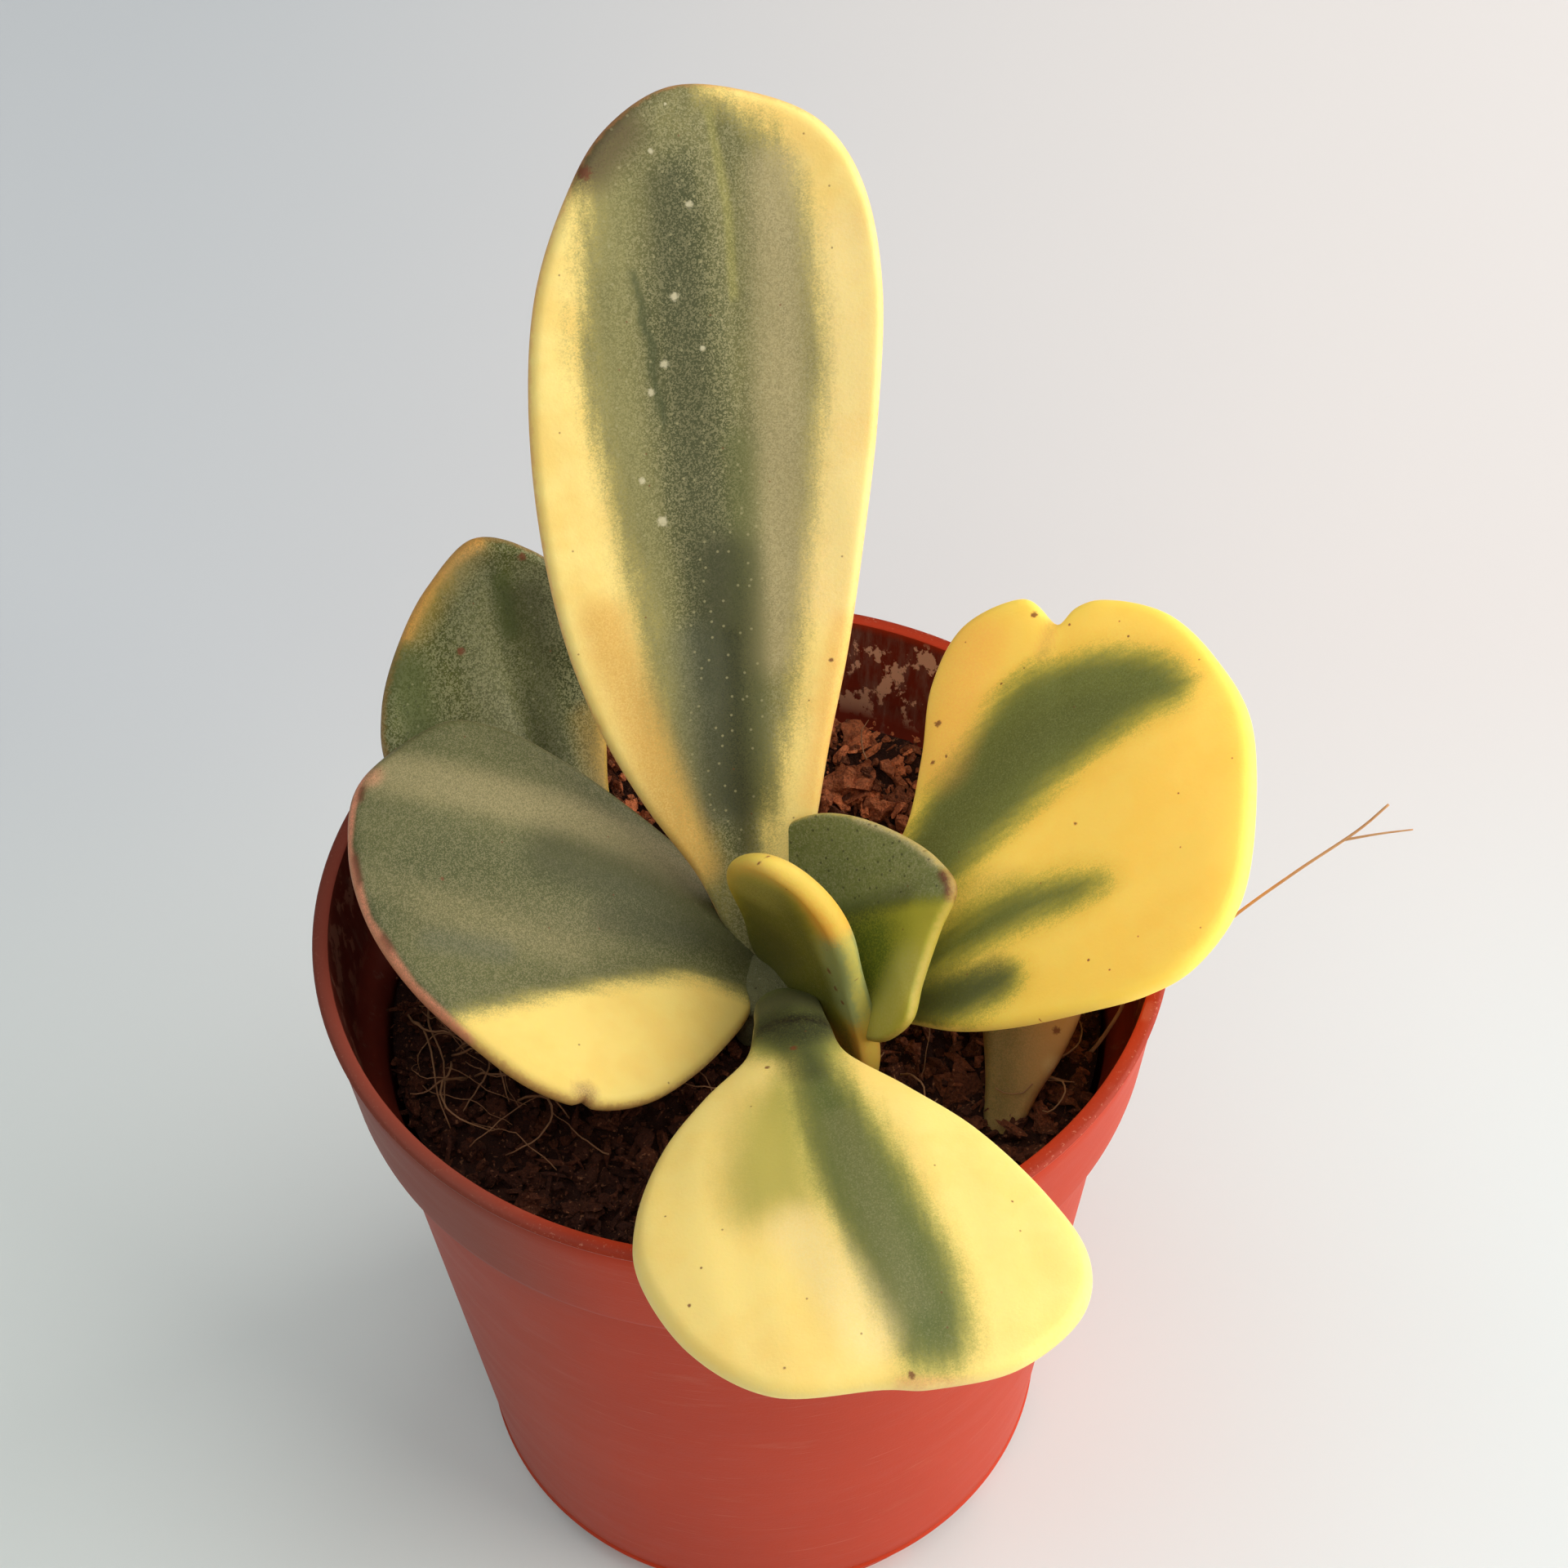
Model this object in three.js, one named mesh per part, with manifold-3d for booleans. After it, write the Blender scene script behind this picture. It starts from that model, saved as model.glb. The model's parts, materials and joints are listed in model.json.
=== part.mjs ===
// A variegated succulent in a small plastic nursery pot: fleshy leaves round a short stem, potting mix
// that fills the pot, and one long coir fibre over the rim. Millimetres, +Z up.

import * as THREE from 'three';
import { mergeVertices } from 'three/addons/utils/BufferGeometryUtils.js';
import Module from 'manifold-3d';

const wasm = await Module();
wasm.setup();

// Clearance between neighbouring pieces
const GAP = 0.3;

// The pot: a straight taper below a taller collar, standing on a ring of small feet
const POT = {
  height: 56,
  rimRadius: 27.5,
  rimWall: 0.8,
  lipHeight: 0.5,
  lipDepth: 0.25,
  collarHeight: 9,
  collarRadius: 26.5,
  stepHeight: 1,
  bodyRadius: 25,
  bandHeight: 3.4,
  bandRadius: 21,
  edgeHeight: 1.8,
  edgeRadius: 20.2,
  wall: 0.9,
  floorTop: 3,
  segments: 48,
};
const FEET = { count: 12, inner: 16.4, outer: 18.9, spanDeg: 12, firstDeg: -63, overlap: 0.4 };
const DRAINS = { count: 6, radius: 2, ring: 11 };

// The potting mix: coir chips on a gently heaped bed
const MIX = {
  edge: 46,
  heap: 1.2,
  chips: 96,
  chipReach: 22.4,
  chipSmall: 0.9,
  chipLarge: 2,
  seed: 7,
};

// The stem, with the rootstock that the mix hides
const STEM = { x: 2, y: -2.2, top: 51.6, radius: 3, neck: 2.6, rootDepth: 26, rootRadius: 1 };
const ROOTS = { count: 5, from: 38, length: 13, thick: 1, thin: 0.5, droopDeg: 38 };

// The fibre's route, and the fork near its end
const FIBRE = { radius: 0.3, sides: 5 };
const FIBRE_ROUTE = [
  [21.4, -5, 43.5],
  [22.8, -5.6, 47],
  [24, -6.2, 51.5],
  [24, -7.6, 55.4],
  [25.6, -8.8, 57.3],
  [28.4, -7.2, 58.5],
  [30.3, -5.9, 60],
  [33.9, -5.3, 63.5],
  [37.5, -4.3, 66],
  [39.4, -3.5, 67.5],
];
const FIBRE_FORK = [
  [36.8, -4.5, 65.5],
  [38.8, -4.7, 66.2],
  [40.8, -4.7, 66.5],
];

// Leaf blades. A leaf starts at base and runs for length along its midrib, whose heading (degrees from
// +X) and rise (degrees above level) change evenly from base to tip. roll turns the blade about the
// midrib, and lifts its right side where it is above 0. cup is how far the left and right sides rise
// 10 mm out from the midrib. left and right are outline points, [out from the midrib, along it].
const LEAVES = {
  leaf_tall_back: {
    base: [1.5, 0.5, 50.5],
    length: 53,
    heading: [95, 98],
    rise: [66, 55],
    roll: 0,
    cup: [1, 1.6],
    thickness: 3.2,
    rows: 26,
    start: [0, -1.5],
    left: [[2.4, 1.5], [4.2, 6], [7.1, 11.2], [9.5, 16.8], [11.2, 23.5], [11.9, 31], [11.6, 38.5],
      [10.4, 44.6], [8, 49.8], [5.2, 53.5]],
    tip: [-1, 55.6],
    right: [[2.2, 2], [3.6, 8], [5, 14.2], [6.6, 20.4], [8.2, 28], [9.5, 35], [10.4, 42.5], [9.9, 48.6],
      [7.8, 52.6], [3.8, 54.8]],
    colour: 0x7f8d63,
  },
  leaf_back_left: {
    base: [-1.5, 1.5, 48.8],
    length: 35,
    heading: [165, 98],
    rise: [8, 60],
    roll: -8,
    cup: [1.9, 1.9],
    thickness: 2.8,
    rows: 18,
    start: [0, -3],
    left: [[1.8, 1], [2.6, 6], [4.4, 12], [6.2, 18], [6.8, 23], [5.4, 26.5], [2.7, 30.2], [0, 33.3]],
    tip: [3.4, 36],
    right: [[1.8, 1], [3, 6], [5.4, 12.5], [7.8, 17.2], [9.8, 22], [10.2, 27], [9.4, 31.2], [7.2, 34.6]],
    colour: 0x66744a,
  },
  leaf_left: {
    base: [-0.5, -1.5, 50.5],
    length: 28.5,
    heading: [186, 164],
    rise: [32, 10],
    roll: 8,
    cup: [0.7, 0.7],
    thickness: 3.2,
    rows: 20,
    start: [0, -1.6],
    left: [[2.8, -0.8], [5.4, 0.8], [9, 3.6], [11.7, 6.4], [12.9, 9.4], [12.4, 12.7], [10.4, 16.2],
      [7.4, 20.4], [3.6, 24.1], [-1, 26.8]],
    tip: [6, 27.7],
    right: [[3, -0.8], [5.6, 1], [8, 5], [10, 9.8], [11.6, 15], [12.3, 19.8], [11.3, 24]],
    colour: 0x7c8a64,
  },
  leaf_front: {
    base: [2.5, -4, 50.3],
    length: 36,
    heading: [277, 276],
    rise: [42, -10],
    roll: 0,
    cup: [-0.4, -0.4],
    thickness: 3.2,
    rows: 22,
    start: [0, -1.6],
    left: [[1.9, 1.5], [1.8, 7], [2.4, 12], [6, 16.6], [9.2, 20.7], [12.2, 26], [13.7, 30.2], [12.6, 33.8],
      [8.6, 36.5], [3.8, 37.1]],
    tip: [-1, 36.8],
    right: [[1.9, 1.5], [2.1, 6], [3.4, 11], [6.6, 15], [9.4, 19.2], [11.3, 24], [11.5, 28.2], [9.2, 33.2],
      [5, 36.4]],
    colour: 0xf0d070,
  },
  leaf_right: {
    base: [4.5, -2, 49.4],
    length: 33,
    heading: [15, 9],
    rise: [37, 29],
    roll: -10,
    cup: [0.6, 0.6],
    thickness: 3.2,
    rows: 24,
    start: [0, -1.6],
    left: [[2.4, 1.5], [3.6, 5.6], [5.4, 10.3], [9.2, 13.6], [13.2, 16.3], [15.6, 19.8], [15.2, 23.8],
      [13, 25.2], [12.4, 28.2], [9.4, 31.5], [5, 33.1]],
    tip: [0.2, 33.5],
    right: [[2.6, 1], [6, 4.7], [8.8, 7.9], [10.9, 11.7], [12.6, 16.2], [13.9, 20.6], [13.8, 24.4],
      [11.4, 28.4], [6.6, 31.3]],
    colour: 0xf2c84e,
  },
  leaf_young_centre: {
    base: [2.7, -1.6, 51.1],
    length: 9.5,
    heading: [304, 304],
    rise: [53, 53],
    roll: -96,
    cup: [4, 1],
    thickness: 2.6,
    rows: 14,
    start: [0, -1.5],
    left: [[2.5, -1], [4.8, 2.6], [7.4, 7.2], [8.3, 11.4], [7.2, 13.6], [3.7, 13.2]],
    tip: [0.2, 11.4],
    right: [[2.4, -1], [5, 0], [7.6, 1.2], [8.9, 3], [8, 5], [6, 6.8], [3.2, 8.8]],
    colour: 0xb9ae52,
  },
  leaf_small_right: {
    base: [4.2, -0.9, 52.2],
    length: 12.9,
    heading: [-7, -27],
    rise: [50, 38],
    roll: -34,
    cup: [6, 1.4],
    thickness: 2.4,
    rows: 14,
    start: [0, -1.8],
    left: [[2.4, -1], [5.4, 0.4], [6.7, 3], [6.7, 5.3], [5.8, 7.4], [4, 9.8], [2, 12]],
    tip: [0.2, 13.4],
    right: [[2.2, -1], [4.6, 0.4], [7.2, 2.8], [8.6, 6], [8.2, 9.4], [6, 10.4], [2.8, 12]],
    colour: 0x7d9150,
  },
  leaf_rooted: {
    base: [16.5, -10, 46],
    length: 15,
    heading: [70, 80],
    rise: [55, 45],
    roll: 0,
    cup: [3, 3],
    thickness: 1.8,
    rows: 10,
    start: [0, -2],
    left: [[1.1, -1], [1.6, 2], [2.3, 5.2], [3.2, 9], [2.7, 12.6]],
    tip: [0, 15.2],
    right: [[1.1, -1], [2, 2], [3, 4.6], [3.8, 8.4], [3, 12.4]],
    colour: 0xa5845a,
  },
};
const EDGE = 0.8;
const CUP_REACH = 10;
const BLADE_STEPS = [0, 0.34, 0.68];
const SPINE_INSET = 0.14;

// Solids and geometries

function toSolid(geometry) {
  const bare = geometry.index ? geometry.clone() : geometry;
  bare.deleteAttribute('normal');
  bare.deleteAttribute('uv');
  const merged = mergeVertices(bare, 1e-4);
  const mesh = new wasm.Mesh({
    numProp: 3,
    vertProperties: Float32Array.from(merged.attributes.position.array),
    triVerts: Uint32Array.from(merged.index.array),
  });
  return new wasm.Manifold(mesh);
}

function toGeometry(solid) {
  const mesh = solid.getMesh();
  const geometry = new THREE.BufferGeometry();
  geometry.setAttribute('position', new THREE.BufferAttribute(mesh.vertProperties, 3));
  geometry.setIndex(new THREE.BufferAttribute(mesh.triVerts, 1));
  return geometry;
}

function largestPiece(solid) {
  return solid.decompose().reduce((best, piece) => (piece.volume() > best.volume() ? piece : best));
}

// Seeded draw, the same on every run
function seededRandom(seed) {
  let state = seed;
  return () => {
    state = (state * 16807) % 2147483647;
    return state / 2147483647;
  };
}

// Pot

function potProfile() {
  const collarFoot = POT.height - POT.collarHeight;
  const bodyTop = collarFoot - POT.stepHeight;
  const rimInner = POT.rimRadius - POT.lipDepth - POT.rimWall;
  return [
    [0, POT.edgeHeight],
    [POT.edgeRadius - 1.2, POT.edgeHeight],
    [POT.edgeRadius, POT.edgeHeight],
    [POT.bandRadius, POT.bandHeight],
    [POT.bodyRadius, bodyTop],
    [POT.collarRadius, collarFoot],
    [POT.rimRadius - POT.lipDepth, POT.height - POT.lipHeight],
    [POT.rimRadius, POT.height - POT.lipHeight * 0.6],
    [POT.rimRadius - 0.1, POT.height],
    [rimInner, POT.height],
    [POT.collarRadius - POT.wall, collarFoot + 0.4],
    [POT.bodyRadius - POT.wall, bodyTop - 0.2],
    [POT.bandRadius - POT.wall, POT.bandHeight + 0.6],
    [POT.bandRadius - POT.wall - 0.8, POT.floorTop],
    [0, POT.floorTop],
  ];
}

function lathe(profile, segments) {
  const points = profile.map(([radius, height]) => new THREE.Vector2(radius, height));
  const geometry = new THREE.LatheGeometry(points, segments);
  geometry.rotateX(Math.PI / 2);
  return toSolid(geometry);
}

function foot(angleDeg) {
  const half = THREE.MathUtils.degToRad(FEET.spanDeg / 2);
  const shape = new THREE.Shape();
  shape.absarc(0, 0, FEET.outer, -half, half, false);
  shape.absarc(0, 0, FEET.inner, half, -half, true);
  shape.closePath();
  const depth = POT.edgeHeight + FEET.overlap;
  const geometry = new THREE.ExtrudeGeometry(shape, { depth, bevelEnabled: false, curveSegments: 3 });
  geometry.rotateZ(THREE.MathUtils.degToRad(angleDeg));
  return toSolid(geometry);
}

function drain(index) {
  const angle = (index / DRAINS.count) * Math.PI * 2;
  const geometry = new THREE.CylinderGeometry(DRAINS.radius, DRAINS.radius, 2 * POT.floorTop, 12);
  geometry.rotateX(Math.PI / 2);
  geometry.translate(DRAINS.ring * Math.cos(angle), DRAINS.ring * Math.sin(angle), POT.floorTop);
  return toSolid(geometry);
}

function buildPot() {
  let pot = lathe(potProfile(), POT.segments);
  for (let i = 0; i < FEET.count; i += 1) {
    pot = pot.add(foot(FEET.firstDeg + (360 / FEET.count) * i));
  }
  for (let i = 0; i < DRAINS.count; i += 1) {
    pot = pot.subtract(drain(i));
  }
  return pot;
}

// Leaves

function mix(range, share) {
  return range[0] + (range[1] - range[0]) * share;
}

// The midrib's direction at a share of the leaf's length
function midribDirection(leaf, share) {
  const heading = THREE.MathUtils.degToRad(mix(leaf.heading, share));
  const rise = THREE.MathUtils.degToRad(mix(leaf.rise, share));
  const level = Math.cos(rise);
  return new THREE.Vector3(level * Math.cos(heading), level * Math.sin(heading), Math.sin(rise));
}

// Places along the midrib, one for each of its even steps
function midribPlaces(leaf) {
  const steps = 60;
  const places = [new THREE.Vector3(...leaf.base)];
  for (let i = 0; i < steps; i += 1) {
    const direction = midribDirection(leaf, (i + 0.5) / steps);
    places.push(places[i].clone().addScaledVector(direction, leaf.length / steps));
  }
  return places;
}

// A point of the blade: out from the midrib, along it, and lifted off the blade's middle surface
function bladePoint(leaf, places, out, along, lift) {
  const share = along / leaf.length;
  const inside = THREE.MathUtils.clamp(share, 0, 1);
  const step = Math.min(Math.floor(inside * (places.length - 1)), places.length - 2);
  const point = places[step].clone().lerp(places[step + 1], inside * (places.length - 1) - step);
  const direction = midribDirection(leaf, inside);
  point.addScaledVector(direction, (share - inside) * leaf.length);
  const heading = THREE.MathUtils.degToRad(mix(leaf.heading, inside));
  const level = new THREE.Vector3(Math.sin(heading), -Math.cos(heading), 0);
  const normal = level.clone().cross(direction);
  const roll = THREE.MathUtils.degToRad(leaf.roll);
  const across = level.clone().multiplyScalar(Math.cos(roll)).addScaledVector(normal, Math.sin(roll));
  const up = normal.clone().multiplyScalar(Math.cos(roll)).addScaledVector(level, -Math.sin(roll));
  const cup = out < 0 ? leaf.cup[0] : leaf.cup[1];
  point.addScaledVector(across, out);
  return point.addScaledVector(up, cup * (out / CUP_REACH) ** 2 + lift);
}

// Pairs of outline points, left and right, from the leaf's start to its tip
function outlinePairs(leaf) {
  const left = leaf.left.map(([out, along]) => [-out, along]);
  const right = [...leaf.right].reverse();
  const loop = [leaf.start, ...left, leaf.tip, ...right];
  const points = loop.map(([out, along]) => new THREE.Vector3(out, along, 0));
  const curve = new THREE.CatmullRomCurve3(points, true, 'catmullrom', 0.5);
  const tipShare = (left.length + 1) / loop.length;
  const pairs = [];
  for (let row = 0; row <= leaf.rows; row += 1) {
    const share = row / leaf.rows;
    const last = row === 0 ? 0 : 1 - share * (1 - tipShare);
    pairs.push([curve.getPoint(share * tipShare), curve.getPoint(last)]);
  }
  return pairs;
}

// Half the blade's thickness: a round margin that swells to the middle
function halfThickness(leaf, share, fromMargin, grow) {
  const edge = EDGE + grow;
  const round = edge * Math.sqrt(1 - (1 - Math.min(fromMargin / edge, 1)) ** 2);
  return round + (leaf.thickness / 2 - EDGE) * (1 - share * share);
}

// One leaf as a closed solid, optionally grown on all sides
function leafSolid(leaf, grow = 0) {
  const places = midribPlaces(leaf);
  const pairs = outlinePairs(leaf);
  const first = leaf.start[1];
  const last = leaf.tip[1];
  const inset = (last - first) * SPINE_INSET;
  const positions = [];
  const index = [];
  const rings = BLADE_STEPS.length + 3;
  pairs.forEach(([left, right]) => {
    const reach = ((left.y + right.y) / 2 - first) / (last - first);
    const spine = new THREE.Vector3(0, mix([first + inset, last - inset], reach), 0);
    [left, right].forEach((rim) => {
      const arm = rim.clone().sub(spine);
      const span = arm.length() + grow;
      arm.normalize();
      const edge = EDGE + grow;
      const shares = [...BLADE_STEPS, 1 - edge / span, 1 - (0.25 * edge) / span, 1];
      shares.forEach((share) => {
        const place = spine.clone().addScaledVector(arm, span * share);
        const half = halfThickness(leaf, share, span * (1 - share), grow);
        positions.push(...bladePoint(leaf, places, place.x, place.y, half).toArray());
        positions.push(...bladePoint(leaf, places, place.x, place.y, -half).toArray());
      });
    });
  });
  const vertex = (row, side, ring, face) => ((row * 2 + side) * rings + ring) * 2 + face;
  for (let row = 0; row < pairs.length - 1; row += 1) {
    for (let side = 0; side < 2; side += 1) {
      for (let ring = 0; ring < rings - 1; ring += 1) {
        for (let face = 0; face < 2; face += 1) {
          const corners = [
            vertex(row, side, ring, face),
            vertex(row, side, ring + 1, face),
            vertex(row + 1, side, ring + 1, face),
            vertex(row + 1, side, ring, face),
          ];
          if (side === face) corners.reverse();
          index.push(corners[0], corners[1], corners[2], corners[0], corners[2], corners[3]);
        }
      }
    }
  }
  const geometry = new THREE.BufferGeometry();
  geometry.setAttribute('position', new THREE.Float32BufferAttribute(positions, 3));
  geometry.setIndex(index);
  return toSolid(geometry);
}

// Stem and roots

function stemProfile(grow) {
  const depth = STEM.top - STEM.rootDepth;
  return [
    [0, depth - grow],
    [STEM.rootRadius + grow, depth - grow],
    [STEM.neck + grow, MIX.edge - 4],
    [STEM.radius + grow, MIX.edge + 2],
    [STEM.neck + grow, MIX.edge + 3.4],
    [STEM.radius + grow, STEM.top - 1.6],
    [STEM.neck * 0.8 + grow, STEM.top - 0.4 + grow],
    [0, STEM.top + grow],
  ];
}

function root(index, grow) {
  const length = ROOTS.length + 2 * grow;
  const geometry = new THREE.CylinderGeometry(ROOTS.thin + grow, ROOTS.thick + grow, length, 6);
  geometry.translate(0, length / 2 - grow, 0);
  geometry.rotateZ(-Math.PI / 2);
  geometry.rotateY(THREE.MathUtils.degToRad(ROOTS.droopDeg));
  geometry.rotateZ((index / ROOTS.count) * Math.PI * 2);
  geometry.translate(0, 0, ROOTS.from - index * 1.5);
  return toSolid(geometry);
}

function buildStem(grow = 0) {
  let stem = lathe(stemProfile(grow), 14);
  for (let i = 0; i < ROOTS.count; i += 1) {
    stem = stem.add(root(i, grow));
  }
  return stem.translate([STEM.x, STEM.y, 0]);
}

// Fibre

function tube(route, radius) {
  const section = new THREE.Shape();
  for (let i = 0; i < FIBRE.sides; i += 1) {
    const angle = (i / FIBRE.sides) * Math.PI * 2;
    const place = [radius * Math.cos(angle), radius * Math.sin(angle)];
    if (i === 0) section.moveTo(...place);
    else section.lineTo(...place);
  }
  section.closePath();
  const path = new THREE.CatmullRomCurve3(route.map((place) => new THREE.Vector3(...place)));
  const steps = route.length * 2;
  return toSolid(new THREE.ExtrudeGeometry(section, { steps, bevelEnabled: false, extrudePath: path }));
}

function buildFibre(grow = 0) {
  const radius = FIBRE.radius + grow;
  const [x, y, z] = FIBRE_ROUTE[0];
  const route = [[x, y, z - grow], ...FIBRE_ROUTE.slice(1)];
  return tube(route, radius).add(tube(FIBRE_FORK, radius));
}

// Potting mix

function mixProfile() {
  const inset = POT.wall + 1.5 * GAP;
  const bodyTop = POT.height - POT.collarHeight - POT.stepHeight;
  const taper = (POT.bodyRadius - POT.bandRadius) / (bodyTop - POT.bandHeight);
  const edgeRadius = POT.bodyRadius - inset - 0.1 - taper * (bodyTop - MIX.edge);
  return [
    [0, POT.floorTop + GAP],
    [POT.bandRadius - inset - 0.9, POT.floorTop + GAP],
    [POT.bandRadius - inset, POT.bandHeight + 1.2],
    [edgeRadius, MIX.edge - 0.8],
    [edgeRadius - 1.2, MIX.edge],
    [edgeRadius * 0.6, MIX.edge + MIX.heap * 0.6],
    [0, MIX.edge + MIX.heap],
  ];
}

// One coir chip: a skewed, turned block sunk into the bed
function chip(random) {
  const size = () => 2 * (MIX.chipSmall + (MIX.chipLarge - MIX.chipSmall) * random() ** 2);
  const geometry = new THREE.BoxGeometry(size(), size() * 0.8, size() * 0.7);
  const place = geometry.attributes.position;
  const skew = new THREE.Vector3(random() - 0.5, random() - 0.5, random() - 0.5);
  for (let i = 0; i < place.count; i += 1) {
    place.setX(i, place.getX(i) + skew.x * place.getY(i));
    place.setY(i, place.getY(i) + skew.y * place.getZ(i));
    place.setZ(i, place.getZ(i) + skew.z * place.getX(i));
  }
  geometry.rotateX(random() * Math.PI);
  geometry.rotateY(random() * Math.PI);
  geometry.rotateZ(random() * Math.PI);
  const reach = MIX.chipReach * Math.sqrt(random());
  const angle = random() * Math.PI * 2;
  const heap = MIX.heap * (1 - reach / MIX.chipReach);
  const height = MIX.edge + heap + 0.2 + random() * 0.5;
  geometry.translate(reach * Math.cos(angle), reach * Math.sin(angle), height);
  return toSolid(geometry);
}

function buildMix(holes) {
  const random = seededRandom(MIX.seed);
  const chips = Array.from({ length: MIX.chips }, () => chip(random));
  const heaped = wasm.Manifold.union([lathe(mixProfile(), 32), ...chips]);
  return largestPiece(holes.reduce((mass, hole) => mass.subtract(hole), heaped));
}

// Assembly

const plant = new THREE.Group();

function addPiece(name, solid, colour, roughness) {
  const material = new THREE.MeshStandardMaterial({ color: colour, roughness, metalness: 0 });
  const mesh = new THREE.Mesh(toGeometry(solid), material);
  mesh.name = name;
  plant.add(mesh);
}

const stemCutter = buildStem(GAP);
addPiece('pot', buildPot(), 0xb5503a, 0.45);
addPiece('stem', buildStem(), 0x8a7d5c, 0.8);
addPiece('coir_fibre', buildFibre(), 0xb8843f, 0.8);

const cutters = [stemCutter];
Object.entries(LEAVES).forEach(([name, leaf]) => {
  const cut = cutters.reduce((blade, cutter) => blade.subtract(cutter), leafSolid(leaf));
  addPiece(name, largestPiece(cut), leaf.colour, 0.5);
  cutters.push(leafSolid(leaf, GAP));
});

addPiece('potting_mix', buildMix([...cutters, buildFibre(GAP)]), 0x3d2114, 0.95);

// The origin is the middle of the whole plant's footprint, on the surface that it stands on
const bounds = new THREE.Box3().setFromObject(plant);
const middle = bounds.getCenter(new THREE.Vector3());
plant.position.set(-middle.x, -middle.y, 0);

export default plant;
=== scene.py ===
# A variegated succulent in a small plastic nursery pot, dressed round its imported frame. Named sizes are
# millimetres measured from the pot's axis and the ground, and become metres where a mesh is made.

import json
import math

import bmesh
import bpy
import numpy as np
from mathutils import Matrix, Vector, noise


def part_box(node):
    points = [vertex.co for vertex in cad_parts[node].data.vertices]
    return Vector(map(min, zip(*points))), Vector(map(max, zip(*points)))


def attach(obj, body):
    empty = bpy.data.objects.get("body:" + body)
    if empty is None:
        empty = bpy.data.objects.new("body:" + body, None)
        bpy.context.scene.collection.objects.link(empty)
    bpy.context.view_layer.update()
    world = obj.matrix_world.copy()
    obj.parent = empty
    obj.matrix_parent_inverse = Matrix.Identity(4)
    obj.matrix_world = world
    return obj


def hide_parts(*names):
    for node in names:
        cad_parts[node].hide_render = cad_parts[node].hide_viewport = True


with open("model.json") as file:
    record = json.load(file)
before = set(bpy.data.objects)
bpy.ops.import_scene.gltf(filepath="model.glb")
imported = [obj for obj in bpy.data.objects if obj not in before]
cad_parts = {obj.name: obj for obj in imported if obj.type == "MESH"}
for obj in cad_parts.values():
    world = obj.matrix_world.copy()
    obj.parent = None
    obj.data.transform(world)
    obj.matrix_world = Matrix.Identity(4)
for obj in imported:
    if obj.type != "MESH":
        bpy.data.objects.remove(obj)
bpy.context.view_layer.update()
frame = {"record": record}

MM = 0.001
POT_LOW, POT_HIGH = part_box("pot")
AXIS = np.array([(POT_LOW.x + POT_HIGH.x) / 2, (POT_LOW.y + POT_HIGH.y) / 2, 0.0])

# The camera's place, how far it looks down, and its roll, with the lens for a 36 mm sensor
CAMERA = {"place": (2.95, -117.5, 196.4), "down": 47.74, "roll": -1.702, "lens": 65.45}

# Pot: the same driving sizes as its solid, with finer roundings. longest is the longest run of its
# profile, and creases sharper than crease, in degrees, stay sharp. Its feet reach a little further out.
POT = {
    "height": 56.0, "rim": 27.5, "rim_wall": 0.8, "lip": 0.5, "lip_out": 0.25,
    "collar_height": 9.0, "collar": 26.5, "step": 1.0, "body": 25.0,
    "band_height": 3.4, "band": 21.0, "edge_height": 1.8, "edge": 20.2,
    "wall": 0.9, "floor_top": 3.0, "segments": 192, "longest": 1.6, "crease": 38.0,
}
FEET = {"count": 12, "inner": 16.4, "outer": 19.5, "span": 12.0, "first": -63.0, "overlap": 0.4}
DRAINS = {"count": 6, "radius": 2.0, "ring": 11.0, "low": 0.5, "high": 5.0}
# The middle of the pot's wall: height and radius
WALL_MIDDLE = [(0, 19.8), (POT["band_height"], 20.6), (46, 24.5), (47, 25.9), (POT["height"], 27.0)]
# Pale flakes inside the collar above foot, thickest round one turn in degrees
FLAKES = {"turn": 58.0, "spread": 26.0, "elsewhere": 0.25, "foot": 47.5}

# Potting mix: a heaped bed, which rises by back from the line back_from to the wall. Its tone is nearly
# black: painted shade for the deep gaps between the chips.
MIX = {
    "edge": 46.0, "sunk": 0.5, "heap": 1.2, "back": 3.2, "back_from": 5.0, "back_run": 14.0, "reach": 23.6,
    "bottom": 3.3, "bottom_radius": 19.2, "rings": 56, "segments": 150, "tone": 0.03,
}
# Its loose chips of coir and bark: how fine their balls are, how many, least and most size, and lift
CHIPS = {
    "potting_mix_lumps": (3, 520, (0.65, 1.5), 0.4), "potting_mix_chips": (2, 2200, (0.3, 0.75), 1.1),
    "potting_mix_crumbs": (1, 2600, (0.12, 0.28), 1.1),
}
SEEDS = {"chips": 11, "fibres": 5}
# The bed's bumps: height, how many to a millimetre, and the level that their noise is taken from
BED_BUMPS = [(0.5, 0.35, 3.1), (0.35, 1.3, 7.7)]
# The forms of chips, as lumps, flakes and splinters: up to which share of them, least and most stretch
CHIP_FORMS = [
    (0.5, (0.75, 0.75, 0.75), (1.25, 1.25, 1.25)), (0.8, (1.1, 0.8, 0.25), (1.6, 1.2, 0.45)),
    (1.0, (1.8, 0.4, 0.35), (3.0, 0.6, 0.5)),
]
# How light the chips are, as painted light: lighter toward the back and the right, where light falls on the
# mix, and darker toward the front and left, in shade
CHIP_LIT = {"middle": 0.62, "back": 0.034, "right": 0.01, "least": 0.25, "most": 1.2, "power": 1.5}
TONE = {"dark": 0.04, "light": 1.15, "spread": (1.4, 2.4)}

# Stem, with the rootstock that the mix hides
STEM = {"x": 2.0, "y": -2.2, "top": 51.6, "radius": 3.0, "neck": 2.6, "bottom": 25.6}

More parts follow.
